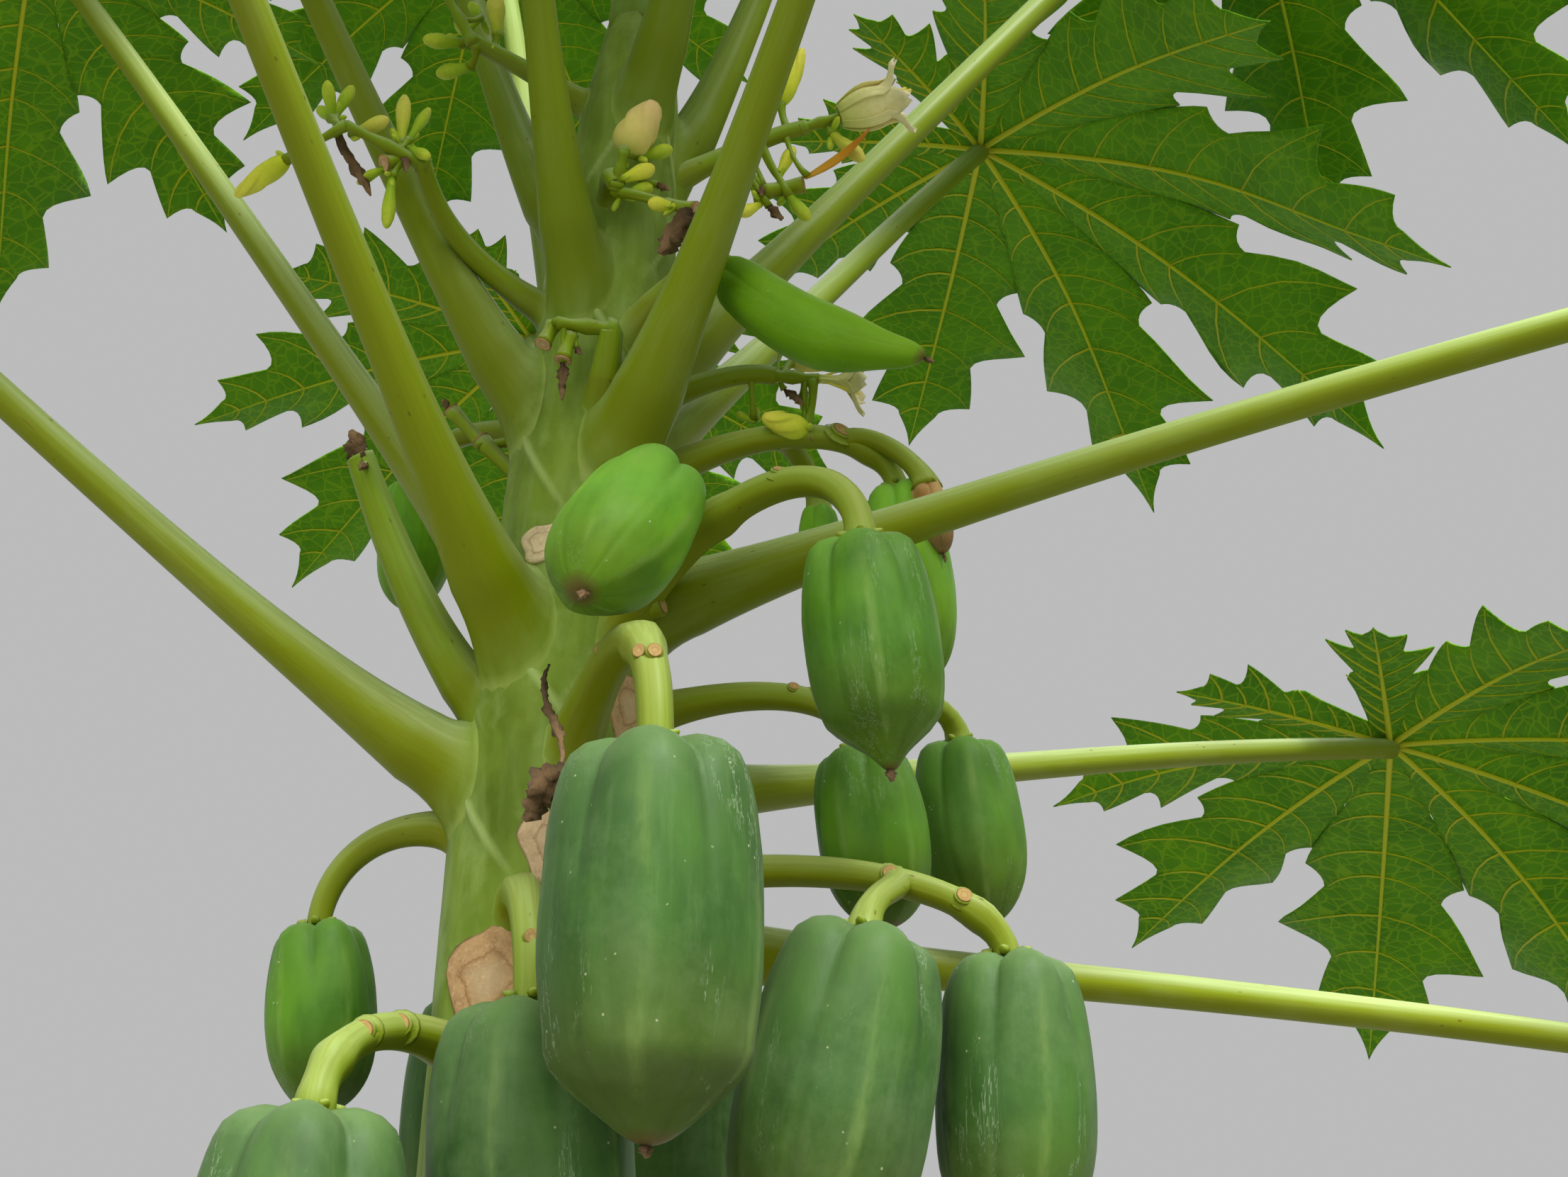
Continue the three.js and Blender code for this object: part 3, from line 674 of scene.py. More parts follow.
class Wiring:
    """Nodes of one material, added and linked by short calls."""

    GLOSS = 0.15
    FLESH_DEPTH = 0.004

    def __init__(self, name: str, roughness: float, sheen: float = 0.0, flesh: float = 0.0) -> None:
        """Starts a material.

        Args:
            name: Name of the material.
            roughness: Roughness of its surface.
            sheen: Weight of the soft sheen that a bloom of wax gives.
            flesh: Share of light that scatters below the surface.
        """
        self.material = bpy.data.materials.new(name)
        self.material.use_nodes = True
        self.nodes = self.material.node_tree.nodes
        self.links = self.material.node_tree.links
        self.shader = self.nodes["Principled BSDF"]
        for entry, value in (("Roughness", roughness), ("Specular IOR Level", self.GLOSS),
                             ("Sheen Weight", sheen), ("Subsurface Weight", flesh),
                             ("Subsurface Scale", self.FLESH_DEPTH)):
            self.shader.inputs[entry].default_value = value

    def fill(self, entry: bpy.types.NodeSocket, value: object) -> None:
        """Links a socket to another, or gives it a plain value."""
        if isinstance(value, bpy.types.NodeSocket):
            self.links.new(value, entry)
        elif isinstance(value, tuple) and entry.type == "RGBA":
            entry.default_value = (*value, 1.0)
        else:
            entry.default_value = value

    def node(self, kind: str, entries: dict[str | int, object], **settings: object) -> bpy.types.Node:
        """Adds a node.

        Args:
            kind: Blender's name for the kind of node.
            entries: Values or links for its sockets, by their names or numbers.
            settings: Values for its own settings.

        Returns:
            The node.
        """
        made = self.nodes.new(f"ShaderNode{kind}")
        for name, value in settings.items():
            setattr(made, name, value)
        for name, value in entries.items():
            self.fill(made.inputs[name], value)
        return made

    def place(self, tall: float = 1.0) -> bpy.types.NodeSocket:
        """Gives a point's place on the whole tree, its height scaled."""
        source = self.node("TexCoord", {}).outputs["Object"]
        return self.node("Mapping", {"Vector": source, "Scale": (1, 1, tall)}).outputs["Vector"]

    def grain(self, tall: float = 1.0, wide: float = 1.0) -> bpy.types.NodeSocket:
        """Gives a point's place on its straightened part, scaled lengthwise and across."""
        source = self.node("Attribute", {}, attribute_name="grain").outputs["Vector"]
        return self.node("Mapping", {"Vector": source, "Scale": (1, wide, tall)}).outputs["Vector"]

    def number(self, name: str) -> bpy.types.NodeSocket:
        """Gives one of the numbers that the points hold."""
        return self.node("Attribute", {}, attribute_name=name).outputs["Fac"]

    def noise(self, where: bpy.types.NodeSocket, scale: float, detail: float = 4.0,
              roughness: float = 0.55) -> bpy.types.NodeSocket:
        """Gives cloudy noise from 0 to 1.

        Args:
            where: Coordinates that it follows.
            scale: Clouds to a metre.
            detail: Number of finer layers.
            roughness: Weight of the finer layers.

        Returns:
            The noise.
        """
        entries = {"Vector": where, "Scale": scale, "Detail": detail, "Roughness": roughness}
        return self.node("TexNoise", entries).outputs["Fac"]

    def cells(self, where: bpy.types.NodeSocket, scale: float, feature: str = "F1") -> bpy.types.NodeSocket:
        """Gives the distance to the nearest cell's middle, or to its edge."""
        return self.node("TexVoronoi", {"Vector": where, "Scale": scale}, feature=feature).outputs["Distance"]

    def ramp(self, value: bpy.types.NodeSocket, *stops: tuple[float, object]) -> bpy.types.NodeSocket:
        """Turns a number into a colour or a grey.

        Args:
            value: The number.
            stops: Places along it, each with its colour or one grey value.

        Returns:
            The colour.
        """
        made = self.node("ValToRGB", {"Fac": value})
        points = made.color_ramp.elements
        while len(points) < len(stops):
            points.new(0.5)
        for point, (place, colour) in zip(points, stops):
            point.position = place
            point.color = (*colour, 1.0) if isinstance(colour, tuple) else (colour, colour, colour, 1.0)
        return made.outputs["Color"]

    def blend(self, share: object, first: object, second: object) -> bpy.types.NodeSocket:
        """Gives two colours mixed, by the share of the second."""
        return self.node("Mix", {0: share, 6: first, 7: second}, data_type="RGBA").outputs[2]

    def layered(self, base: bpy.types.NodeSocket, *layers: tuple[object, ...]) -> bpy.types.NodeSocket:
        """Lays colours over one another.

        Args:
            base: The lowest colour.
            layers: Each a number, the stops that turn it into a share, and a colour.

        Returns:
            The mixed colour.
        """
        for value, *stops, colour in layers:
            base = self.blend(self.ramp(value, *stops), base, colour)
        return base

    def times(self, first: object, second: object) -> bpy.types.NodeSocket:
        """Gives the product of two numbers, kept from 0 to 1."""
        return self.node("Math", {0: first, 1: second}, operation="MULTIPLY", use_clamp=True).outputs[0]

    def plus(self, first: object, second: object) -> bpy.types.NodeSocket:
        """Gives the sum of two numbers, kept from 0 to 1."""
        return self.node("Math", {0: first, 1: second}, operation="ADD", use_clamp=True).outputs[0]

    def both(self, first: tuple[object, ...], second: tuple[object, ...]) -> bpy.types.NodeSocket:
        """Gives the share that two numbers let through, each given with its stops."""
        return self.times(self.ramp(*first), self.ramp(*second))

    def stripes(self, value: bpy.types.NodeSocket, count: float, width: float) -> bpy.types.NodeSocket:
        """Gives a line at each of so many even steps of a number that runs from 0 to 1."""
        steps = self.node("Math", {0: value, 1: count}, operation="MULTIPLY").outputs[0]
        part = self.node("Math", {0: steps}, operation="FRACT").outputs[0]
        return self.ramp(part, (0.0, 1.0), (width, 0.0), (1.0 - width, 0.0), (1.0, 1.0))

    def colour(self, value: bpy.types.NodeSocket) -> None:
        """Sets the base colour."""
        self.links.new(value, self.shader.inputs["Base Color"])

    def bump(self, height: bpy.types.NodeSocket, depth: float, strength: float) -> None:
        """Roughens the surface by a height of so many metres."""
        made = self.node("Bump", {"Strength": strength, "Distance": depth, "Height": height})
        earlier = self.shader.inputs["Normal"]
        if earlier.is_linked:
            self.links.new(earlier.links[0].from_socket, made.inputs["Normal"])
        self.links.new(made.outputs["Normal"], earlier)


@dataclass(frozen=True)
class StemFinish:
    """Waxy pale green skin of the stem, which turns to grey bark towards the ground."""

    pale: Colour = paint(126, 152, 46)
    green: Colour = paint(90, 114, 14)
    bloom: Colour = paint(168, 192, 106)
    olive: Colour = paint(104, 122, 4)
    line: Colour = paint(194, 212, 130)
    bark: Colour = paint(128, 120, 90)
    crack: Colour = paint(82, 76, 54)

    def skin(self, wiring: Wiring) -> bpy.types.NodeSocket:
        """Gives the colour of the young skin, which runs on over the feet of the stalks.

        Args:
            wiring: Material that it is wired in.

        Returns:
            The colour.
        """
        return wiring.layered(
            wiring.ramp(wiring.noise(wiring.place(0.5), 26, 5), (0.32, self.green), (0.58, self.pale)),
            (wiring.noise(wiring.place(0.2), 75, 3, 0.5), (0.46, 0.0), (0.8, 0.4), self.bloom),
            (wiring.noise(wiring.place(0.8), 30, 5, 0.6), (0.5, 0.0), (0.7, 0.5), self.bloom),
            (wiring.noise(wiring.place(), 15, 6, 0.7), (0.55, 0.0), (0.7, 0.55), self.olive),
        )

    def material(self) -> bpy.types.Material:
        """Wires the finish.

        Returns:
            The material.
        """
        wiring = Wiring("stem_skin", roughness=0.55, sheen=0.08)
        young = wiring.layered(self.skin(wiring), (wiring.number("edge"), (0.2, 0.0), (1.0, 0.6), self.line))
        cracks = wiring.noise(wiring.place(0.25), 90, 8, 0.7)
        old = wiring.ramp(cracks, (0.36, self.crack), (0.58, self.bark), (0.8, self.pale))
        halves = wiring.times(wiring.noise(wiring.place(0.5), 11, 5), 0.5)
        age = wiring.plus(wiring.number("along"), halves)
        wiring.colour(wiring.layered(young, (age, (0.4, 0.95), (0.97, 0.0), old)))
        wiring.bump(cracks, 0.0012, 0.35)
        wiring.bump(wiring.noise(wiring.place(0.2), 160, 4), 0.0006, 0.4)
        return wiring.material


@dataclass(frozen=True)
class StalkFinish:
    """Smooth skin of a leaf, fruit or flower stalk."""

    name: str
    foot: Colour
    middle: Colour
    tip: Colour
    bloom: Colour = paint(178, 196, 128)
    olive: Colour = paint(124, 130, 0)
    burn: Colour = paint(118, 74, 26)
    speck: Colour = paint(98, 66, 20)
    fresh: Colour = paint(82, 122, 26)
    rim: Colour = paint(182, 196, 104)

    def material(self) -> bpy.types.Material:
        """Wires the finish.

        Returns:
            The material.
        """
        wiring = Wiring(self.name, roughness=0.44)
        along, top_light, edge = (wiring.number(name) for name in ("along", "top_light", "edge"))
        clouds = wiring.noise(wiring.grain(0.35), 40, 4)
        lines = wiring.noise(wiring.grain(0.02), 420, 3, 0.6)
        base = wiring.layered(
            wiring.ramp(along, (0.0, self.foot), (0.2, self.middle), (1.0, self.tip)),
            (wiring.noise(wiring.grain(0.06), 48, 1, 0.4), (0.34, 0.5), (0.52, 0.0), self.olive),
            # Painted shade and painted top light: the skin goes olive where it faces down and pale where it
            # faces up, partly its real yellower underside and waxier top.
            (top_light, (0.15, 0.85), (0.5, 0.0), self.olive),
            (top_light, (0.48, 0.0), (0.8, 0.9), self.bloom),
            (clouds, (0.5, 0.0), (0.8, 0.25), self.bloom),
            (lines, (0.42, 0.3), (0.6, 0.0), self.olive),
            (wiring.noise(wiring.grain(0.1), 60, 4, 0.7), (0.7, 0.0), (0.73, 0.85), self.burn),
        )
        specks = wiring.both((wiring.cells(wiring.grain(0.5), 150), (0.05, 0.7), (0.14, 0.0)),
                             (wiring.noise(wiring.grain(), 50, 2), (0.55, 0.0), (0.6, 1.0)))
        base = wiring.blend(specks, base, self.speck)
        base = wiring.blend(wiring.number("tint"), base, self.fresh)
        wiring.colour(wiring.layered(
            base,
            (edge, (0.25, 0.0), (0.8, 1.0), StemFinish().skin(wiring)),
            (edge, (0.6, 0.0), (0.7, 0.4), (0.8, 0.0), self.rim),
        ))
        wiring.bump(lines, 0.0004, 0.35)
        wiring.bump(clouds, 0.001, 0.25)
        return wiring.material


@dataclass(frozen=True)
class FruitFinish:
    """Skin of a fruit: two greens, pale lines along the ribs, scratches, specks and scuffs."""

    name: str
    deep: Colour
    light: Colour
    bright: Colour
    bloom: Colour
    wax: float
    lines: float = 0.5
    marks: float = 0.6
    tip: Colour = paint(88, 96, 18)
    rib: Colour = paint(150, 176, 92)
    scratch: Colour = paint(176, 192, 158)
    scuff: Colour = paint(158, 172, 122)
    speck: Colour = paint(188, 192, 152)
    end: Colour = paint(104, 84, 40)

    def material(self) -> bpy.types.Material:
        """Wires the finish.

        Returns:
            The material.
        """
        wiring = Wiring(self.name, roughness=0.48, sheen=self.wax)
        along, edge, tint, top_light = (wiring.number(name) for name in ("along", "edge", "tint", "top_light"))
        clouds = wiring.noise(wiring.grain(0.5), 34, 5, 0.6)
        frost = wiring.noise(wiring.grain(), 12, 6, 0.7)
        broken = wiring.noise(wiring.grain(0.3), 48, 4, 0.7)
        where = wiring.noise(wiring.grain(0.3), 26, 2)
        veil = wiring.noise(wiring.grain(0.1), 70, 5, 0.75)
        scuffs = wiring.noise(wiring.grain(0.5), 240, 6, 0.8)
        base = wiring.layered(
            wiring.ramp(clouds, (0.34, self.deep), (0.66, self.light)),
            (wiring.noise(wiring.grain(0.5), 15, 4), (0.48, 0.0), (0.66, 0.75), self.bright),
            # Painted shade: the grooves between the ribs are darkened with the deep green.
            (edge, (0.3, 0.0), (1.0, 0.6), self.deep),
            (wiring.noise(wiring.grain(0.06), 120, 5, 0.7), (0.54, 0.0), (0.8, 0.2), self.bloom),
            (frost, (0.48, 0.0), (0.74, 0.35), self.bloom),
            # Painted top light: skin that faces up is paled with the bloom colour, partly a real waxy bloom.
            (top_light, (0.5, 0.0), (1.0, 0.5), self.bloom),
            (wiring.plus(along, wiring.times(frost, 0.2)), (0.62, 0.0), (1.0, 0.5), self.tip),
        )
        for share, colour in (
            (wiring.times(tint, wiring.ramp(broken, (0.42, 0.0), (0.6, self.lines))), self.rib),
            (wiring.both((veil, (0.49, 0.0), (0.5, self.marks), (0.51, 0.0)),
                         (where, (0.56, 0.0), (0.64, 1.0))), self.scratch),
            (wiring.both((scuffs, (0.58, 0.0), (0.68, self.marks)),
                         (where, (0.3, 1.0), (0.36, 0.0))), self.scuff),
            (wiring.both((wiring.cells(wiring.grain(), 140), (0.06, 0.7), (0.11, 0.0)),
                         (wiring.noise(wiring.grain(), 75, 1), (0.6, 0.0), (0.63, 1.0))), self.speck),
        ):
            base = wiring.blend(share, base, colour)
        wiring.colour(wiring.layered(base, (along, (0.965, 0.0), (0.995, 0.9), self.end)))
        wiring.bump(clouds, 0.0016, 0.3)
        wiring.bump(scuffs, 0.0004, 0.3)
        return wiring.material


@dataclass(frozen=True)
class BladeFinish:
    """One face of a leaf blade, with fine side veins and a net between them."""

    name: str
    deep: Colour
    light: Colour
    net: Colour
    strength: float
    roughness: float
    veins: int = 27

    def material(self) -> bpy.types.Material:
        """Wires the finish.

        Returns:
            The material.
        """
        wiring = Wiring(self.name, roughness=self.roughness, sheen=0.02)
        net = wiring.cells(wiring.grain(wide=0.7), 105, "DISTANCE_TO_EDGE")
        veins = wiring.stripes(wiring.number("along"), self.veins, 0.06)
        base = wiring.layered(
            wiring.ramp(wiring.noise(wiring.grain(), 18, 5, 0.6), (0.34, self.deep), (0.66, self.light)),
            (net, (0.02, self.strength * 0.6), (0.08, 0.0), self.net),
        )
        base = wiring.blend(wiring.times(veins, self.strength * 0.6), base, self.net)
        wiring.colour(wiring.blend(wiring.number("tint"), base, self.light))
        wiring.bump(wiring.ramp(net, (0.0, 0.0), (0.25, 1.0)), 0.0008, 0.4)
        wiring.bump(veins, 0.0008, 0.5)
        return wiring.material


@dataclass(frozen=True)
class PlainFinish:
    """Skin of a small part: three colours from its foot to its tip, with soft clouds."""

    name: str
    foot: Colour
    middle: Colour
    tip: Colour
    roughness: float = 0.5
    scale: float = 260.0
    relief: float = 0.0004
    flesh: float = 0.0

    def material(self) -> bpy.types.Material:
        """Wires the finish.

        Returns:
            The material.
        """
        wiring = Wiring(self.name, roughness=self.roughness, sheen=0.04, flesh=self.flesh)
        clouds = wiring.noise(wiring.grain(), self.scale, 5, 0.65)
        wiring.colour(wiring.layered(
            wiring.ramp(wiring.number("along"), (0.0, self.foot), (0.45, self.middle), (1.0, self.tip)),
            (clouds, (0.4, 0.0), (0.75, 0.45), self.foot),
            (wiring.number("edge"), (0.3, 0.0), (1.0, 0.7), self.tip),
        ))
        wiring.bump(clouds, self.relief, 0.6)
        return wiring.material


@dataclass(frozen=True)
class ScarFinish:
    """Corky face of a scar: a dark rim, a pale face and a brown middle."""

    name: str
    fresh: Colour = paint(236, 212, 168)
    tan: Colour = paint(214, 170, 118)
    grey: Colour = paint(124, 120, 86)
    dark: Colour = paint(122, 82, 40)

    def material(self) -> bpy.types.Material:
        """Wires the finish.

        Returns:
            The material.
        """
        wiring = Wiring(self.name, roughness=0.8)
        tint = wiring.number("tint")
        clouds = wiring.noise(wiring.place(), 110, 6, 0.75)
        crust = wiring.noise(wiring.place(), 420, 6, 0.75)
        ring = wiring.plus(wiring.number("edge"), wiring.ramp(clouds, (0.3, 0.0), (0.8, 0.22)))
        wiring.colour(wiring.layered(
            wiring.ramp(tint, (0.0, self.fresh), (0.5, self.tan), (1.0, self.grey)),
            (clouds, (0.44, 0.0), (0.7, 0.45), self.dark),
            (crust, (0.52, 0.0), (0.64, 0.4), self.fresh),
            (ring, (0.54, 0.0), (0.6, 0.45), (0.66, 0.0), self.dark),
            (ring, (0.64, 0.0), (0.9, 0.4), self.fresh),
            (ring, (0.05, 0.7), (0.15, 0.0), self.dark),
            (tint, (0.6, 0.0), (1.0, 0.75), self.grey),
        ))
        wiring.bump(crust, 0.0008, 0.8)
        return wiring.material


@dataclass(frozen=True)
class Scar:
    """Mark that a fallen leaf left on the stem."""

    azimuth: float
    height: float
    width: float
    tall: float
    age: float


@dataclass(frozen=True)
class StemSkin:
    """Trunk of the tree: its outer skin, with the swellings below the leaves."""

    scars: tuple[Scar, ...]
    sides: int = 32
    fine_from: float = 1.68
    coarse_step: float = 0.045
    fine_step: float = 0.0145
    ridge: float = 0.0032
    scar_ridge: float = 0.45
    ridge_width: float = 0.42
    ridge_fade: float = 0.09
    ridge_top: float = 0.02
    line: float = 0.0013
    line_drop: float = 0.012
    line_start: float = 0.6
    line_slope: float = 17.0
    line_width: float = 0.075
    line_fade: float = 0.038
    line_top: float = 0.02
    streak: float = 0.0007
    crack: tuple[float, float] = (0.0003, 0.0014)
    bark_top: float = 1.5
    green_from: float = 2.1
    hit_reach: float = 0.25
    hit_tries: int = 250

    def radius(self, angle: np.ndarray, height: np.ndarray) -> np.ndarray:
        """Gives the distance of the skin from the stem's middle.

        Args:
            angle: Angles round the stem, in radians.
            height: Heights, as many.

        Returns:
            The distances.
        """
        flare = STEM.flare_depth * np.exp(-height / STEM.flare_fade)
        found = STEM.radius(height) * (1 + flare * np.cos(STEM.flare_lobes * angle))
        marks = [(leaf, self.ridge) for leaf in LEAVES]
        marks += [(scar, self.ridge * self.scar_ridge) for scar in self.scars]
        for mark, swelling in marks:
            below = mark.height - height
            fade = np.where(below > 0, np.exp(-below / self.ridge_fade), bell(below, self.ridge_top))
            found = found + swelling * fade * bell(apart(angle, mark.azimuth), self.ridge_width)
        return found + self.line * self.lines(angle, height)

    def lines(self, angle: np.ndarray, height: np.ndarray) -> np.ndarray:
        """Gives the strength of the raised lines that run down askew from both sides of each leaf.

        Args:
            angle: Angles round the stem, in radians.
            height: Heights, as many.

        Returns:
            The strength, from 0 to 1.
        """
        found = np.zeros(np.broadcast(angle, height).shape)
        for leaf in LEAVES:
            below = leaf.height - self.line_drop - height
            off = np.abs(apart(angle, leaf.azimuth)) - self.line_start - self.line_slope * below
            fade = bell(below, self.line_fade) * (below > -self.line_top)
            found = np.maximum(found, fade * bell(off, self.line_width))
        return found

    def dropped(self, points: np.ndarray, sink: float) -> np.ndarray:
        """Moves points level onto the skin, or a little under it.

        Args:
            points: Points beside the stem.
            sink: How far under the skin they end.

        Returns:
            The moved points.
        """
        heights = np.clip(points[..., 2], 0, STEM.top)
        off = points - STEM.middle(heights)
        angle = np.arctan2(off[..., 1], off[..., 0])
        moved = STEM.around(angle, self.radius(angle, heights) - sink, heights)
        moved[..., 2] = points[..., 2]
        return moved

    def hit(self, points: np.ndarray, way: np.ndarray) -> np.ndarray:
        """Follows a direction from points beside the stem until it meets the plain skin.

        Args:
            points: Points outside the stem.
            way: Direction of travel.

        Returns:
            Where each point meets the skin.
        """
        runs = np.linspace(0, self.hit_reach, self.hit_tries)
        inside = STEM.clearance(points[..., None, :] + way * runs[:, None]) <= 0
        inside[..., -1] = True
        return points + way * runs[np.argmax(inside, axis=-1)][..., None]

    def build(self) -> bpy.types.Object:
        """Models the trunk from an extruded circle and presses the relief into it.

        Returns:
            The finished piece.
        """
        coarse = np.arange(0, self.fine_from, self.coarse_step)
        fine = np.linspace(self.fine_from, STEM.top, round((STEM.top - self.fine_from) / self.fine_step))
        rungs = [(float(height), 2.0) for height in (*coarse, *fine)]
        trunk = extruded_rings(self.sides, rungs, closed=False)
        finish_modifier(trunk, "SUBSURF", levels=2, render_levels=2)
        points = points_of(trunk)
        angle = np.arctan2(points[:, 1], points[:, 0])
        height = np.clip(points[:, 2], 0, STEM.top)
        shaped = STEM.around(angle, self.radius(angle, height) + self.grooves(angle, height), height)
        trunk.data.vertices.foreach_set("co", shaped.ravel())
        self.close_ends(trunk)
        trunk.name = trunk.data.name = "stem_skin"
        store(trunk.data, "along", np.clip(height / self.green_from, 0, 1))
        store(trunk.data, "edge", np.clip(self.lines(angle, height), 0, 1))
        trunk.data.polygons.foreach_set("use_smooth", [True] * len(trunk.data.polygons))
        trunk.data.materials.append(StemFinish().material())
        return dress(trunk, ["stem"])

    def grooves(self, angle: np.ndarray, height: np.ndarray) -> np.ndarray:
        """Gives the fine relief of the skin: long streaks, and cracks near the ground.

        Args:
            angle: Angles round the stem, in radians.
            height: Heights, as many.

        Returns:
            How far the skin stands out at each place.
        """
        found = np.zeros(len(angle))
        for number, (turn, tall) in enumerate(zip(angle, height)):
            east, north = math.cos(turn), math.sin(turn)
            streak = noise.noise(Vector((east * 5, north * 5, tall * 7)))
            fine = noise.noise(Vector((east * 13, north * 13, tall * 26 + 9)))
            age = min(1.0, max(0.0, self.bark_top - tall))
            found[number] = self.streak * streak + mix(*self.crack, age) * fine
        return found

    @staticmethod
    def close_ends(trunk: bpy.types.Object) -> None:
        """Closes the flat cut at the ground and the top of the stem with faces."""
        select(trunk)
        bpy.ops.object.mode_set(mode="EDIT")
        for low, high in ((-1.0, 1e-6), (STEM.top - 1e-6, STEM.top + 1.0)):
            select_points(trunk, lambda place, low=low, high=high: low < place.z < high)
            bpy.ops.mesh.edge_face_add()
        bpy.ops.mesh.select_all(action="SELECT")
        bpy.ops.mesh.normals_make_consistent(inside=False)
        bpy.ops.object.mode_set(mode="OBJECT")


@dataclass(frozen=True)
class LeafScars:
    """Shield-shaped leaf scars on the stem."""

    turn: float = 137.5
    lowest: float = 0.13
    highest: float = 1.79
    step: float = 0.036
    spokes: int = 28
    rings: int = 7
    rise: float = 0.0013
    rim: float = 0.0006
    sink: float = 0.002
    seen: tuple[Scar, ...] = (
        Scar(252, 2.053, 0.027, 0.024, 0.0),
        Scar(327, 1.967, 0.032, 0.04, 0.42),
        Scar(283, 1.889, 0.036, 0.04, 0.2),
        Scar(250, 1.82, 0.054, 0.058, 0.55),
        Scar(95, 1.885, 0.034, 0.036, 0.4),
        Scar(140, 1.94, 0.03, 0.034, 0.3),
        Scar(20, 2.01, 0.028, 0.03, 0.2),
        Scar(60, 2.04, 0.026, 0.028, 0.1),
    )

    def spiral(self) -> tuple[Scar, ...]:
        """Gives the old scars, which wind up the stem.

        Returns:
            The scars, from the lowest up.
        """
        found = []
        for number in range(round((self.highest - self.lowest) / self.step)):
            height = self.lowest + self.step * number
            wide = 0.9 * float(STEM.radius(height))
            young = float(smooth(np.array((height - 1.0) / 0.8)))
            tall = 0.034 + 0.008 * young
            found.append(Scar((self.turn * number) % 360, height, wide, tall, 1 - 0.2 * young))
        return tuple(found)

    def build(self, skin: StemSkin) -> bpy.types.Object:
        """Lays each scar on the skin as a thin shield with a raised rim.

        Args:
            skin: Trunk that they lie on.

        Returns:
            The finished piece.
        """
        shape = Shape()
        for scar in (*skin.scars, *self.seen):
            self.lay(shape, skin, scar)
        return dress(shape.piece("leaf_scars", [ScarFinish("leaf_scar").material()]))

    def lay(self, shape: Shape, skin: StemSkin, scar: Scar) -> None:
        """Adds one scar.

        Args:
            shape: Mesh in the making.
            skin: Trunk that it lies on.
            scar: The scar.
        """
        spoke = np.linspace(0, 2 * np.pi, self.spokes, endpoint=False)
        seed = scar.azimuth + scar.height
        outline = 1 + 0.11 * np.cos(3 * spoke - np.pi / 2) + 0.06 * np.cos(4 * spoke + seed)
        outline = outline + 0.05 * np.sin(5 * spoke + 2 * seed) + 0.02 * np.sin(9 * spoke + 3 * seed)
        share = np.linspace(1, 0.06, self.rings)[:, None]
        across = scar.width / 2 * share * outline * np.cos(spoke)
        angle = math.radians(scar.azimuth) + across / float(STEM.radius(scar.height))
        height = scar.height + scar.tall / 2 * share * outline * np.sin(spoke)
        lift = self.rim * bell(1 - share, 0.2) - self.sink * (share > 0.99) + 0.0004 * np.cos(14 * share)
        out = skin.radius(angle, height) + lift + self.rise
        shape.add_rings(STEM.around(angle, out, height), edge=1 - share, tint=scar.age)


@dataclass(frozen=True)
class LimbForm:
    """How a limb grows out of the stem: its rounded foot, its sides and rings, and its ribs.

    The foot ends at the clear distance from the skin and spreads over it, below the limb by
    the heel more.
    """

    clear: float
    spread: float
    heel: float
    foot_rings: int
    sides: int
    steps: int
    ribs: tuple[int, float] = (0, 0.0)


def tube_rings(line: np.ndarray, radii: np.ndarray, sides: int,
               ribs: tuple[int, float] = (0, 0.0)) -> tuple[np.ndarray, np.ndarray]:
    """Gives rings of points round a line.

    Args:
        line: Points of the line.
        radii: Radius at each of them.
        sides: Number of points in a ring.
        ribs: Number of ribs that run along the tube, and their height in radii.

    Returns:
        The rings, and each point's place on the straightened tube.
    """
    ways = unit(np.gradient(line, axis=0))
    across, _ = cross_ways(ways[0])
    angle = np.linspace(0, 2 * np.pi, sides, endpoint=False)
    count, high = ribs
    thick = radii[:, None] * (1 + high * np.cos(count * angle))
    rings = np.zeros((len(line), sides, 3))
    for number, way in enumerate(ways):
        across = unit(across - way * (across @ way))
        over = np.cross(way, across)
        round_it = np.outer(np.cos(angle), across) + np.outer(np.sin(angle), over)
        rings[number] = line[number] + thick[number][:, None] * round_it
    runs = np.concatenate(([0.0], np.cumsum(np.linalg.norm(np.diff(line, axis=0), axis=1))))
    level = np.broadcast_to(runs[:, None], thick.shape)
    return rings, np.stack([thick * np.cos(angle), thick * np.sin(angle), level], axis=-1)


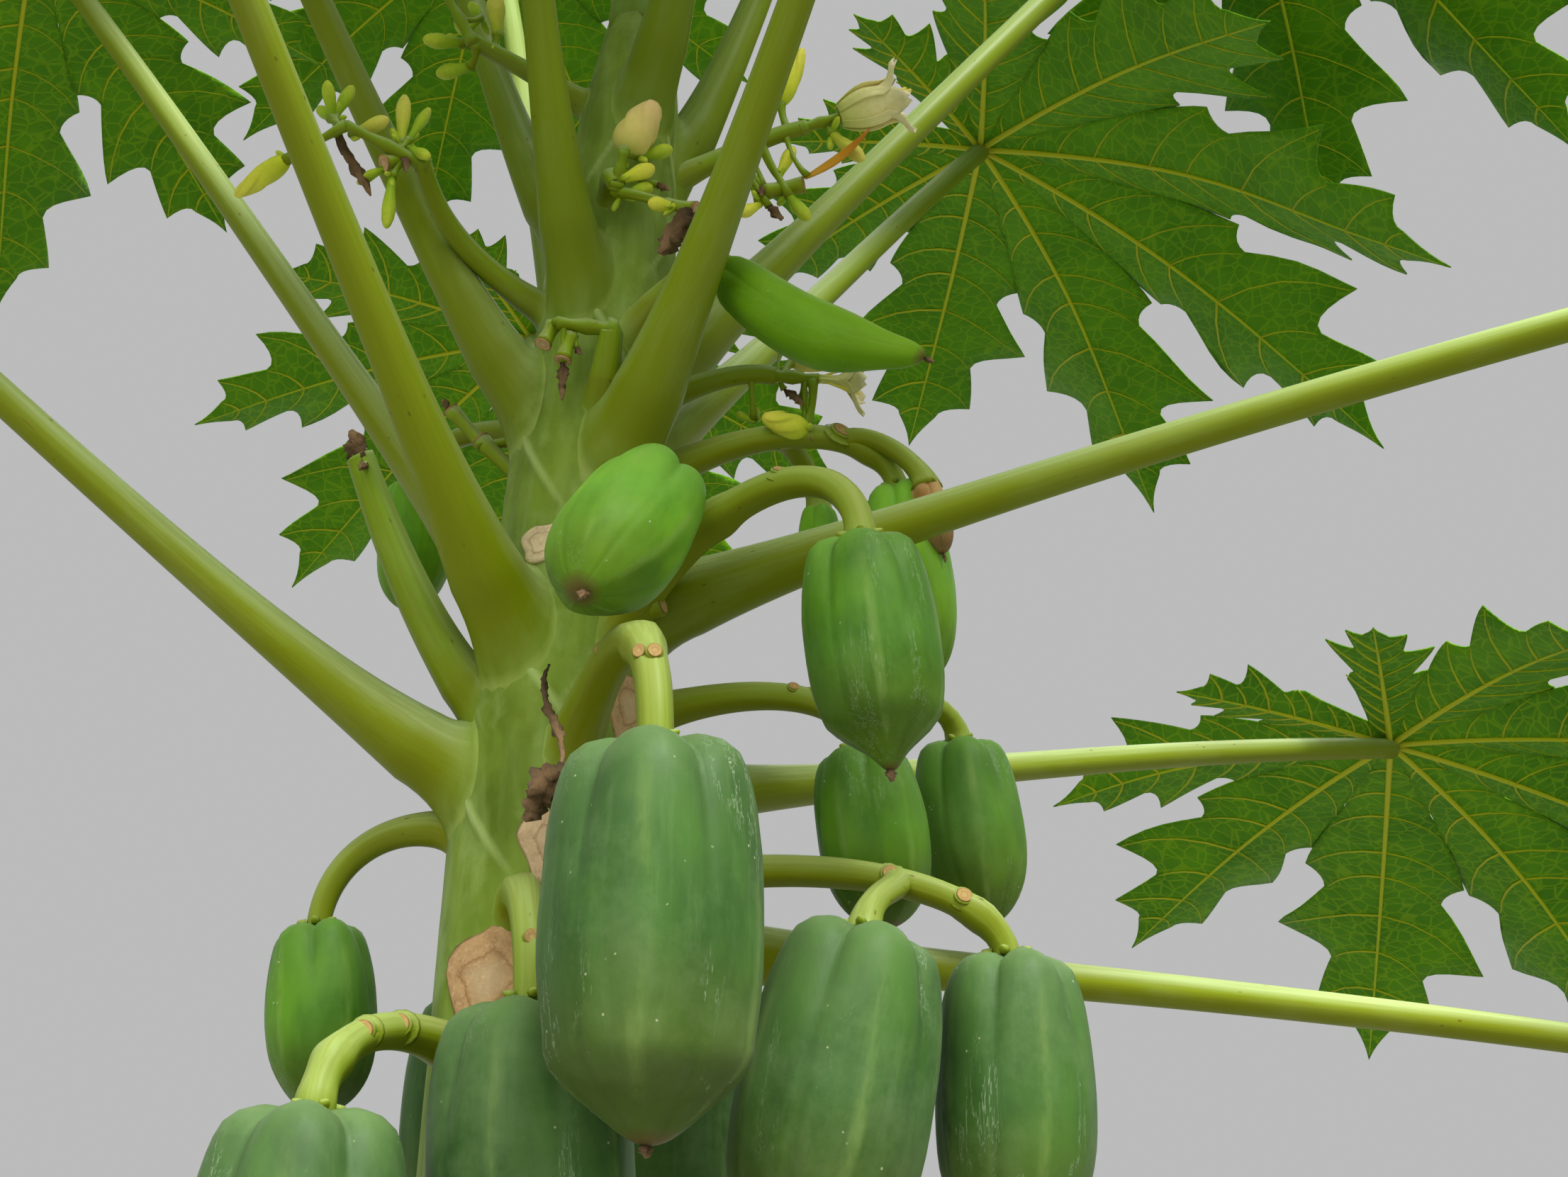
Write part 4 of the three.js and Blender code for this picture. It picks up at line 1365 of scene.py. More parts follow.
def grow_limb(shape: Shape, skin: StemSkin, curve: Bezier, radius_at: Callable[[np.ndarray], np.ndarray],
              form: LimbForm, tint: float = 0.0, onward: np.ndarray | None = None) -> None:
    """Adds a limb that grows out of the stem on a rounded foot.

    Args:
        shape: Mesh in the making.
        skin: Trunk that it grows from.
        curve: Its middle line, from the middle of the stem.
        radius_at: Gives its radius at distances from the stem's skin.
        form: Its foot, its sides and its ribs.
        tint: Number that sets its colour off.
        onward: One more point of its line past the curve's end.
    """
    shares = np.linspace(0, 1, 400)
    leaving = shares[int(np.argmax(STEM.clearance(curve.points(shares)) >= 0))]
    start = leaving + form.clear / curve.length
    spacing = start + (1 - start) * np.linspace(0, 1, form.steps + 1) ** 1.25
    line = curve.points(spacing)
    radii = radius_at((spacing - leaving) * curve.length)
    if onward is not None:
        line = np.vstack([line, onward])
        radii = np.append(radii, radii[-1])
    rings, grain = tube_rings(line, radii, form.sides, form.ribs)
    way = -curve.way(leaving)
    corner = skin.hit(rings[0], way)
    away = unit(corner - skin.hit(line[0], way))
    run = form.spread + form.heel * np.maximum(0, -away[:, 2:])
    rim = skin.dropped(corner + away * run, 0.0012)
    back = np.linspace(1, 0, form.foot_rings + 1)[:-1]
    share = back[:, None, None]
    feet = (1 - share) ** 2 * rings[0] + 2 * share * (1 - share) * corner + share**2 * rim
    sunk = grain[0] - np.stack([0 * back, 0 * back, back * 0.04], axis=-1)[:, None]
    edge = np.concatenate([back, np.zeros(len(rings))])[:, None]
    along = np.concatenate([0 * back, np.linspace(0, 1, len(rings))])[:, None]
    shifted = np.concatenate([sunk, grain]) + (0, 0, 3.7 * shape.parts)
    shape.add_rings(np.concatenate([feet, rings]), grain=shifted, edge=edge, along=along, tint=tint)


@dataclass(frozen=True)
class LeafStalks:
    """The long stalks of all full leaves."""

    form: LimbForm = LimbForm(clear=0.026, spread=0.016, heel=0.016, foot_rings=10, sides=22, steps=44)
    tip_radius: float = 0.008
    middle_radius: float = 0.01
    swelling: float = 0.016
    narrowing: float = 0.075
    hub_rise: float = 0.004
    finish: StalkFinish = StalkFinish(
        "leaf_stalk_skin", paint(132, 146, 0), paint(142, 158, 14), paint(132, 150, 50))

    def build(self, skin: StemSkin) -> bpy.types.Object:
        """Grows every stalk from the stem to its blade.

        Args:
            skin: Trunk that they grow from.

        Returns:
            The finished piece.
        """
        shape = Shape()
        for leaf in LEAVES:
            curve = leaf.curve()
            small = float(np.clip(leaf.length * 0.5 + leaf.reach * 1.5, 0.6, 1.0))
            hub = curve.point(1.0) + leaf.blade_ways()[2] * self.hub_rise

            def radius_at(clear: np.ndarray, curve: Bezier = curve, small: float = small) -> np.ndarray:
                """Gives the stalk's radius at distances from the stem."""
                plain = mix(self.middle_radius, self.tip_radius, clear / curve.length)
                return plain * mix(1, small, 0.5) + self.swelling * small * np.exp(-clear / self.narrowing)

            grow_limb(shape, skin, curve, radius_at, self.form, tint=0.45 * leaf.youth, onward=hub)
        nodes = [f"leaf_stalk_{number + 1:02d}" for number in range(len(LEAVES))]
        return dress(shape.piece("leaf_stalk_skins", [self.finish.material()]), nodes)


@dataclass(frozen=True)
class BladeRule:
    """Rule by which a lobed blade grows round its hub, with its sizes in its own reach.

    Each row of the margin is the place of a side vein on the midrib and its length to the
    margin, both in lobe lengths, and whether the margin has a point there.
    """

    lobes: int = 9
    spread: float = 37.0
    shortening: float = 0.036
    web: float = 0.25
    back: float = 0.07
    droop: float = 0.2
    fold: float = 0.05
    sag: float = 0.05
    wave: float = 0.012
    waves: float = 21.0
    curl: float = 0.06
    lobe_width: float = 0.18
    bend_from: float = 0.22
    bend_span: float = 0.6
    vein: float = 0.0026
    vein_bow: float = 0.32
    slant: float = 50.0
    margin: tuple[tuple[float, float, bool], ...] = (
        (0.25, 0.155, False), (0.37, 0.218, True), (0.45, 0.16, False), (0.57, 0.295, True),
        (0.68, 0.13, False), (0.79, 0.165, True), (0.87, 0.06, False), (1.0, 0.0, True),
    )

    def margin_past(self, first: float) -> list[tuple[float, float, bool]]:
        """Gives the rows of the margin past a place on the midrib."""
        return [row for row in self.margin if row[0] > first + 0.02]

    def margin_at(self, share: np.ndarray, first: float, width: float) -> np.ndarray:
        """Gives the length of side veins to the margin.

        Args:
            share: Places on the midrib, in lobe lengths.
            first: Place from which the margin runs free.
            width: Length to the margin there.

        Returns:
            The lengths, in lobe lengths.
        """
        stations = [(first, width, False), *self.margin_past(first)]
        found = np.full(len(share), width)
        for (low, start, sharp), (high, end, point) in zip(stations, stations[1:]):
            within = (share >= low) & (share <= high)
            run = (share[within] - low) / (high - low)
            bulging = 0.5 * (run + np.sin(np.pi / 2 * run))
            eased = bulging if point else 1 - (1 - run) ** 1.7 if sharp else smooth(run)
            found[within] = start + (end - start) * eased
        return found


class Blade:
    """One leaf blade in space: it turns places on its flat lobes into points."""

    WEB_ROWS = 6
    ROWS = 5
    CELLS = 4
    FULL_REACH = 0.38
    SHORTEST_VEIN = 0.012
    WEB_VEINS = (0.09, 0.17)

    def __init__(self, rule: BladeRule, hub: np.ndarray, ways: tuple[np.ndarray, np.ndarray, np.ndarray],
                 reach: float, seed: int) -> None:
        """Lays out the lobes.

        Args:
            rule: Rule that the blade grows by.
            hub: Point where the stalk meets it.
            ways: Ways forward, aside and up.
            reach: Length of its middle lobe.
            seed: Seed of its small differences.
        """
        self.rule = rule
        self.hub = hub
        self.forward, self.aside, self.normal = ways
        self.reach = reach
        self.seed = seed
        self.slope = math.radians(rule.slant)
        half = (rule.lobes - 1) // 2
        self.numbers = range(-half, half + 1)
        chance = random.Random(seed)
        self.sags = {number: chance.uniform(0.2, 1.0) * rule.sag for number in self.numbers}
        self.twists = {number: chance.uniform(-0.35, 0.35) for number in self.numbers}
        self.phases = {number: chance.uniform(0, 6.28) for number in self.numbers}
        self.curls = {number: chance.uniform(0.0, 0.5) for number in self.numbers}

    def length(self, number: int) -> float:
        """Gives the length of a lobe."""
        return self.reach * (1 - self.rule.shortening * number * number)

    def place(self, number: int, ahead: np.ndarray, beside: np.ndarray, below: float = 0.0) -> np.ndarray:
        """Gives points of the blade's upper face, or below it.

        Args:
            number: Number of the lobe.
            ahead: Distances along its midrib.
            beside: Distances across it.
            below: Depth under the upper face.

        Returns:
            The points.
        """
        rule = self.rule
        turn = math.radians(number * rule.spread)
        x = ahead * math.cos(turn) - beside * math.sin(turn)
        y = ahead * math.sin(turn) + beside * math.cos(turn)
        far = smooth((ahead - rule.bend_from * self.reach) / (rule.bend_span * self.reach))
        wide = np.abs(beside) / (rule.lobe_width * self.reach)
        lift = rule.fold * self.reach * wide
        lift = lift - self.sags[number] * self.reach * far**2
        lift = lift + self.twists[number] * beside * far
        ripple = np.sin(self.phases[number] + rule.waves * ahead / self.reach + np.sign(beside))
        lift = lift + rule.wave * self.reach * ripple * wide * far
        lift = lift + self.curls[number] * far * self.reach * rule.curl * wide**3
        sink = rule.droop * (x * x + y * y) / self.reach
        height = lift - sink - below
        return (self.hub + x[..., None] * self.forward + y[..., None] * self.aside
                + height[..., None] * self.normal)

    def vein_line(self, start: np.ndarray, length: np.ndarray, side: int,
                  share: np.ndarray) -> tuple[np.ndarray, np.ndarray]:
        """Gives places along side veins, which curve a little towards the lobe's tip.

        Args:
            start: Places of the veins on the midrib.
            length: Their lengths.
            side: 1 or -1, for the side of the midrib.
            share: Shares of their length.

        Returns:
            Distances along the midrib and across it.
        """
        ahead = start + length * math.cos(self.slope) * share
        beside = length * math.sin(self.slope) * share
        bow = self.rule.vein_bow * length * share * (1 - share)
        return ahead - bow * math.sin(self.slope), side * (beside + bow * math.cos(self.slope))

    def web_start(self, number: int, side: int) -> tuple[float, float]:
        """Gives how the side veins grow where a lobe borders on its neighbour, or on the back.

        Args:
            number: Number of the lobe.
            side: Side of its midrib.

        Returns:
            The length of a vein to the border for each metre of midrib, and the place on the
            midrib of the last vein that ends on it.
        """
        angle, far = math.radians(self.rule.spread / 2), self.rule.web * self.reach
        if side * number == self.numbers[-1]:
            angle, far = math.radians(180 - self.rule.spread * abs(number)), self.rule.back * self.reach
        steep = math.tan(angle)
        ratio = steep / (math.sin(self.slope) - math.cos(self.slope) * steep)
        reach = (1 + ratio * math.cos(self.slope)) / math.cos(angle)
        return ratio, far / reach

    def rows(self, number: int) -> np.ndarray:
        """Gives the places on a lobe's midrib that its rows of faces start from.

        Args:
            number: Number of the lobe.

        Returns:
            The places, from the hub out.
        """
        _, first = self.web_start(number, 1 if number < self.numbers[-1] else -1)
        long = self.length(number)
        web = np.linspace(0, first, self.WEB_ROWS + 1)
        stations = [first / long, *[row[0] for row in self.rule.margin_past(first / long)]]
        free = [np.linspace(low, high, self.ROWS + 1)[1:] for low, high in zip(stations, stations[1:])]
        return np.concatenate([web, np.concatenate(free) * long])

    def vein_lengths(self, number: int, side: int, start: np.ndarray) -> np.ndarray:
        """Gives the lengths of side veins from the midrib to the lobe's margin.

        Args:
            number: Number of the lobe.
            side: Side of its midrib.
            start: Places of the veins on the midrib.

        Returns:
            The lengths.
        """
        ratio, first = self.web_start(number, side)
        long = self.length(number)
        free = self.rule.margin_at(start / long, first / long, ratio * first / long) * long
        return np.where(start <= first, ratio * start, free)

    def add_skin(self, shape: Shape, tint: float) -> None:
        """Adds the upper face of every lobe, as rows of faces along the side veins.

        Args:
            shape: Mesh in the making.
            tint: Number that sets the leaf's colour off.
        """
        share = np.linspace(0, 1, self.CELLS + 1)
        for number in self.numbers:
            start = self.rows(number)
            for side in (1, -1):
                length = self.vein_lengths(number, side, start)
                ahead, beside = self.vein_line(start[:, None], length[:, None], side, share)
                points = self.place(number, ahead, beside)
                here = np.arange(ahead.size).reshape(ahead.shape)
                quads = np.stack([here[:-1, :-1], here[1:, :-1], here[1:, 1:], here[:-1, 1:]], axis=-1)
                faces = quads.reshape(-1, 4)[:, ::side]
                grain = np.stack([ahead, beside, np.full_like(ahead, self.seed + number * 0.37)], axis=-1)
                shape.add(points, faces.tolist(), grain=grain, tint=tint,
                          along=start[:, None] / self.length(number), edge=share)

    def add_veins(self, shape: Shape, finish: int) -> None:
        """Adds the midribs and side veins as fine raised tubes.

        Args:
            shape: Mesh in the making.
            finish: Number of their finish.
        """
        thick = self.rule.vein * self.reach / self.FULL_REACH
        stations = [row[0] for row in self.rule.margin[:-1]]
        for number in self.numbers:
            long = self.length(number)
            ahead = np.linspace(0.0, 0.985, 18) * long
            line = self.place(number, ahead, np.zeros_like(ahead), 0.001)
            shape.add_tube(line, np.linspace(1, 0.22, 18) * thick, 6, np.linspace(0, 1, 18), finish)
            starts = np.array([*self.WEB_VEINS, *stations]) * long
            for side in (1, -1):
                lengths = self.vein_lengths(number, side, starts) * 0.95
                for start, length in zip(starts, lengths):
                    if length < self.SHORTEST_VEIN:
                        continue
                    ahead, beside = self.vein_line(start, length, side, np.linspace(0, 1, 5))
                    line = self.place(number, ahead, beside, 0.0013)
                    shape.add_tube(line, np.linspace(0.52, 0.3, 5) * thick, 3, np.linspace(0.3, 1, 5), finish)


def leaf_finishes(name: str, upper: BladeFinish, under: BladeFinish) -> list[bpy.types.Material]:
    """Makes the materials of blades: their upper face, underside and veins.

    Args:
        name: Name of the veins' finish.
        upper: Finish of the upper face.
        under: Finish of the underside.

    Returns:
        The materials, in that order.
    """
    vein = PlainFinish(name, paint(190, 192, 36), paint(182, 190, 20), paint(156, 180, 26), scale=120.0,
                       relief=0.0002)
    return [finish.material() for finish in (upper, under, vein)]


def blades_piece(name: str, skin: Shape, veins: Shape, thickness: float,
                 finishes: list[bpy.types.Material]) -> bpy.types.Object:
    """Merges the rows of blades, gives them an underside and joins their veins to them.

    Args:
        name: Name of the piece.
        skin: Upper faces of the blades.
        veins: Their veins.
        thickness: Thickness of the blades.
        finishes: Materials of the upper face, the underside and the veins.

    Returns:
        The piece.
    """
    body = skin.piece(name, finishes)
    select(body)
    bpy.ops.object.mode_set(mode="EDIT")
    bpy.ops.mesh.select_all(action="SELECT")
    bpy.ops.mesh.remove_doubles(threshold=2e-5)
    bpy.ops.mesh.dissolve_degenerate(threshold=1e-6)
    bpy.ops.object.mode_set(mode="OBJECT")
    finish_modifier(body, "SOLIDIFY", thickness=thickness, offset=-1.0, material_offset=1,
                    material_offset_rim=1, use_even_offset=False)
    ridges = veins.piece(f"{name}_veins", finishes)
    select(body)
    ridges.select_set(True)
    bpy.ops.object.join()
    return body


@dataclass(frozen=True)
class LeafBlades:
    """The blades of all full leaves, joined in three bands of the crown."""

    thickness: float = 0.0013
    hub_rise: float = 0.0045
    rule: BladeRule = BladeRule()
    bands: tuple[tuple[str, range], ...] = (
        ("leaf_blades_low", range(0, 6)),
        ("leaf_blades_middle", range(6, 12)),
        ("leaf_blades_high", range(12, 17)),
    )
    upper: BladeFinish = BladeFinish(
        "leaf_top", paint(36, 84, 30), paint(54, 106, 42), paint(88, 132, 56), 0.4, 0.42)
    # The underside's bright yellow-green is partly its own paler colour and partly painted light shining
    # through the blade.
    under: BladeFinish = BladeFinish(
        "leaf_under", paint(68, 124, 1), paint(92, 150, 2), paint(146, 184, 14), 0.7, 0.6)

    def build(self) -> list[bpy.types.Object]:
        """Grows every blade on its stalk.

        Returns:
            The finished pieces.
        """
        finishes = leaf_finishes("leaf_vein", self.upper, self.under)
        made = []
        for name, band in self.bands:
            skin, veins = Shape(), Shape()
            for number in band:
                leaf = LEAVES[number]
                ways = leaf.blade_ways()
                hub = leaf.curve().point(1.0) + ways[2] * self.hub_rise
                blade = Blade(self.rule, hub, ways, leaf.reach, number + 1)
                blade.add_skin(skin, tint=0.5 * leaf.youth)
                blade.add_veins(veins, finish=2)
            whole = blades_piece(name, skin, veins, self.thickness, finishes)
            made.append(dress(whole, [f"leaf_blade_{number + 1:02d}" for number in band]))
        return made


@dataclass(frozen=True)
class YoungLeaves:
    """Bud of the stem with the youngest leaves, the last of them smaller still."""

    count: int = 4
    small: int = 3
    turn: float = 137.5
    first: float = 205.0
    bud_radius: float = 0.019
    bud_height: float = 0.07
    bud_sink: float = 0.006
    thickness: float = 0.0009
    length: tuple[float, float] = (0.36, 0.11)
    rise: tuple[float, float] = (76.0, 88.0)
    reach: tuple[float, float] = (0.19, 0.06)
    radius: tuple[float, float] = (0.0065, 0.0035)
    bow: float = 15.0
    pitch: float = -58.0
    rule: BladeRule = BladeRule(
        lobes=5, spread=56.0, shortening=0.09, droop=0.35, fold=0.09, sag=0.03, vein=0.003)
    stalk: StalkFinish = StalkFinish(
        "young_stalk_skin", paint(112, 134, 38), paint(124, 152, 56), paint(120, 152, 58))
    upper: BladeFinish = BladeFinish(
        "young_leaf_top", paint(70, 108, 40), paint(98, 132, 56), paint(130, 152, 76), 0.4, 0.5)
    under: BladeFinish = BladeFinish(
        "young_leaf_under", paint(84, 120, 30), paint(112, 144, 44), paint(146, 164, 66), 0.5, 0.6)

    def build(self) -> list[bpy.types.Object]:
        """Grows the bud, its stalks and its small blades.

        Returns:
            The finished pieces.
        """
        finishes = leaf_finishes("young_leaf_vein", self.upper, self.under)
        stalks, skin, veins = Shape(), Shape(), Shape()
        foot = STEM.middle(STEM.top)
        self.add_bud(stalks, foot)
        share = np.linspace(0, 1, 15)
        for number in range(self.count + self.small):
            extra = number >= self.count
            age = (number - self.count + 0.5) / self.small if extra else number / (self.count - 1)
            azimuth = self.first + self.turn * number
            climb = mix(*self.rise, age)
            run = mix(*self.length, age) * (0.55 if extra else 1.0)
            start = foot + UP * self.bud_height * mix(0.2, 0.8, age)
            curve = Bezier(start, start + heading(azimuth, climb - self.bow) * run / 2,
                           start + heading(azimuth, climb) * run)
            thick = mix(*self.radius, age) * (0.7 if extra else 1.0)
            radii = thick * (1 - 0.3 * share) + 0.006 * np.exp(-share * run / 0.03)
            stalks.add_tube(curve.points(share), radii, 12, share, tint=0.7)
            ways = (heading(azimuth, self.pitch), heading(azimuth + 90, 0))
            reach = mix(*self.reach, age) * (0.6 if extra else 1.0)
            blade = Blade(self.rule, curve.point(1.0), (*ways, np.cross(*ways)), reach, 40 + number)
            blade.add_skin(skin, tint=0.3 * age)
            blade.add_veins(veins, finish=2)
        whole = blades_piece("young_leaf_blades", skin, veins, self.thickness, finishes)
        shoots = stalks.piece("young_leaf_stalks", [self.stalk.material()])
        return [dress(whole, ["young_leaves"]), dress(shoots, ["young_leaves"])]

    def add_bud(self, shape: Shape, foot: np.ndarray) -> None:
        """Adds the swollen tip of the stem.

        Args:
            shape: Mesh in the making.
            foot: Top of the stem.
        """
        share = np.linspace(0, 1, 12)
        line = foot + np.outer(share * self.bud_height - self.bud_sink, UP)
        radii = mix(self.bud_radius * 1.06, self.bud_radius / 3, share**2)
        shape.add_tube(line, radii, 24, share, ribs=(5, 0.06), tint=0.4)


FRUIT_FINISHES = {
    Skin.WAXY: FruitFinish("fruit_waxy", paint(44, 80, 28), paint(68, 104, 46), paint(76, 118, 42),
                           paint(130, 156, 104), 0.03, lines=0.22, marks=0.5),
    Skin.GREEN: FruitFinish("fruit_green", paint(54, 98, 18), paint(80, 128, 34), paint(106, 158, 28),
                            paint(124, 160, 84), 0.02, lines=0.28, marks=0.3),
    Skin.BRIGHT: FruitFinish("fruit_bright", paint(82, 140, 14), paint(120, 178, 34), paint(146, 204, 40),
                             paint(130, 182, 84), 0.02, lines=0.3, marks=0.25),
    Skin.YOUNG: FruitFinish("fruit_young", paint(96, 144, 6), paint(114, 164, 16), paint(126, 176, 20),
                            paint(142, 190, 40), 0.03, lines=0.0, marks=0.08, tip=paint(116, 156, 20)),
    Skin.ROTTEN: FruitFinish("fruit_rotten", paint(150, 104, 40), paint(206, 170, 98), paint(224, 198, 130),
                             paint(238, 210, 150), 0.0, lines=0.0, marks=0.3, tip=paint(30, 18, 8)),
}


@dataclass
class Fruits:
    """All fruit, modelled once and copied onto their stalks."""

    sides: int = 60
    ribs: int = 5
    groove: float = 0.05
    shoulder_groove: float = 0.15
    nose_groove: float = 0.06
    facet: float = 0.013
    young_groove: float = 0.4
    young_facet: float = 0.3
    profile: tuple[tuple[float, float], ...] = (
        (0.06, 0.06), (0.035, 0.15), (0.01, 0.28), (0.0, 0.42), (0.014, 0.58), (0.05, 0.73), (0.11, 0.85),
        (0.19, 0.925), (0.29, 0.97), (0.41, 0.993), (0.53, 1.0), (0.65, 0.972), (0.75, 0.9), (0.83, 0.785),
        (0.895, 0.635), (0.94, 0.48), (0.972, 0.32), (0.992, 0.17), (1.0, 0.06),
    )
    model: Template = field(init=False)

    def __post_init__(self) -> None:
        """Models one fruit of length and width 1, its stalk's end at the origin."""
        body = extruded_rings(self.sides, self.profile)
        finish_modifier(body, "SUBSURF", levels=1, render_levels=1)
        self.model = Template.taken(body)

    def bumps(self, wide: float, tall: float, seed: int) -> np.ndarray:
        """Gives unevenness at each point, in so many bumps across and lengthwise."""
        return np.array([noise.noise(Vector((x * wide + seed, y * wide, z * tall)))
                         for x, y, z in self.model.points])

    def ribbed(self, fruit: Fruit, seed: int) -> tuple[np.ndarray, dict[str, np.ndarray]]:
        """Presses the grooves between the ribs into a copy and gives it its own bumps.

        Args:
            fruit: The fruit.
            seed: Seed of its small differences.

        Returns:
            The copy's points, and their numbers: the edge is the depth of the grooves there, and
            the tint how near each is to the middle of a rib.
        """
        east, north, along = self.model.points.T
        along = np.clip(along, 0, 1)
        angle = np.arctan2(north, east)
        young = fruit.skin is Skin.YOUNG
        chance = random.Random(seed)
        turned = angle + 0.05 * np.sin(3.1 * along + chance.uniform(0, 6.28))
        crest = np.abs(np.cos(self.ribs / 2 * turned))
        nose = smooth((along - 0.66) / 0.22) * smooth((1.01 - along) / 0.05)
        depth = self.groove + self.shoulder_groove * bell(along, 0.3) + self.nose_groove * nose
        depth = depth * (self.young_groove if young else 1.0)
        groove = 1 - crest**0.62
        facet = self.facet * np.cos(2 * self.ribs * turned) * smooth((along - 0.2) / 0.4)
        factor = 1.02 - depth * groove + facet * (self.young_facet if young else 1.0)
        tail = smooth((along - 0.55) / 0.45)
        factor = factor * (1 - 0.42 * fruit.beak * tail * smooth((1 - along) / 0.3 + 0.25))
        factor = factor * (1 + fruit.belly * bell(along - 0.85, 0.08))
        factor = factor * (1 - 0.52 * fruit.nose * smooth((along - 0.77) / 0.2))
        uneven = np.array([chance.uniform(-0.035, 0.02) for _ in range(self.ribs)])
        sector = np.floor((angle + math.pi / self.ribs) / (2 * math.pi / self.ribs)).astype(int) % self.ribs
        factor = factor + uneven[sector] * crest
        factor = factor + 0.02 * self.bumps(3, 4, seed) + 0.005 * self.bumps(9, 14, seed)
        rise = (0.035 + 0.3 * uneven[sector]) * crest * bell(along, 0.14)
        shaped = np.stack([east * factor, north * factor, self.model.points[:, 2] - rise], axis=-1)
        shaped[:, 1] += fruit.bow * np.sin(np.pi * along) * fruit.length / fruit.width
        shaped[:, 0] += 0.05 * chance.uniform(-1, 1) * tail
        ridge = bell(1 - crest, 0.018) * smooth((along - 0.08) / 0.2)
        return shaped, {"along": along, "edge": groove * np.minimum(1, depth * 7), "tint": ridge}

    def build(self) -> list[bpy.types.Object]:
        """Hangs every fruit.

        Returns:
            The finished pieces.
        """
        made = []
        seed = 0
        for side in Side:
            bunches = [bunch for bunch in BUNCHES if bunch.side is side]
            hung = [fruit for bunch in bunches for fruit in bunch.fruit]
            skins = sorted({fruit.skin for fruit in hung}, key=lambda skin: skin.value)
            shape = Shape()
            for fruit in hung:
                seed += 1
                points, numbers = self.ribbed(fruit, seed)
                body = Template(points, self.model.faces)
                placed = body.placed(fruit.top, fruit.way, fruit.length, fruit.width, fruit.spin)
                grain = points * (fruit.width, fruit.width, fruit.length) + (seed * 1.3, 0, seed * 2.1)
                shape.add(placed, body.faces, skins.index(fruit.skin), grain, **numbers)
            piece = shape.piece(f"fruit_{side.value}", [FRUIT_FINISHES[skin].material() for skin in skins])
            made.append(dress(piece, [bunch.name for bunch in bunches]))
        return made


@dataclass
class CutEnd:
    """Corky end of a cut or fallen stalk, modelled once: a short swelling with a sunken face."""

    sides: int = 16
    length: float = 0.0026
    profile: tuple[tuple[float, float], ...] = (
        (0.0, 1.3), (0.35, 1.0), (0.75, 0.98), (0.93, 1.12), (1.0, 1.0), (1.0, 0.72), (0.93, 0.5),
        (0.95, 0.1),
    )
    model: Template = field(init=False)

    def __post_init__(self) -> None:
        """Models the end that all are copied from."""
        self.model = Template.taken(extruded_rings(self.sides, self.profile))

    def add(self, shape: Shape, foot: np.ndarray, way: np.ndarray, width: float, tint: float) -> None:
        """Adds a copy.

        Args:
            shape: Mesh in the making.
            foot: Its foot, inside the stalk.
            way: Where it points.
            width: Its width.
            tint: Number that sets its colour off.
        """
        level = np.hypot(self.model.points[:, 0], self.model.points[:, 1]) * 2
        shape.add(self.model.placed(foot, way, self.length, width), self.model.faces,
                  edge=np.clip(1 - level, 0, 1), tint=tint)


@dataclass(frozen=True)
class Stub:
    """Cut or fallen end on a fruit stalk: its bunch, its place and where it points."""

    bunch: str
    at: float
    azimuth: float
    rise: float
    radius: float
    length: float


STUBS = (
    Stub("fruit_bunch_front", 0.81, 285, 8, 0.0036, 0.003),
    Stub("fruit_bunch_front", 0.8, 250, 0, 0.0034, 0.003),
    Stub("fruit_bunch_front", 0.5, 240, 20, 0.004, 0.001),
    Stub("fruit_bunch_right_upper", 0.3, 335, 10, 0.0046, 0.013),
    Stub("fruit_bunch_right_upper", 0.72, 280, 50, 0.0042, 0.001),
    Stub("fruit_bunch_right_top", 0.6, 285, 55, 0.0036, 0.001),
    Stub("fruit_bunch_right_top", 0.76, 300, 30, 0.0056, 0.001),
    Stub("fruit_bunch_right_lower", 0.71, 278, 12, 0.0042, 0.0005),
    Stub("fruit_bunch_right_lower", 0.85, 285, 20, 0.0042, 0.0005),
    Stub("fruit_bunch_right_middle", 0.7, 285, 30, 0.003, 0.001),
    Stub("fruit_bunch_front_left", 0.78, 285, 0, 0.0038, 0.001),
    Stub("fruit_bunch_left_lower", 0.52, 270, 10, 0.0054, 0.002),
    Stub("fruit_bunch_left_lower", 0.66, 268, 0, 0.0048, 0.003),
    Stub("fruit_bunch_back_lower", 0.5, 60, 40, 0.0038, 0.003),
    Stub("young_fruit", 0.62, 240, 60, 0.004, 0.001),
)


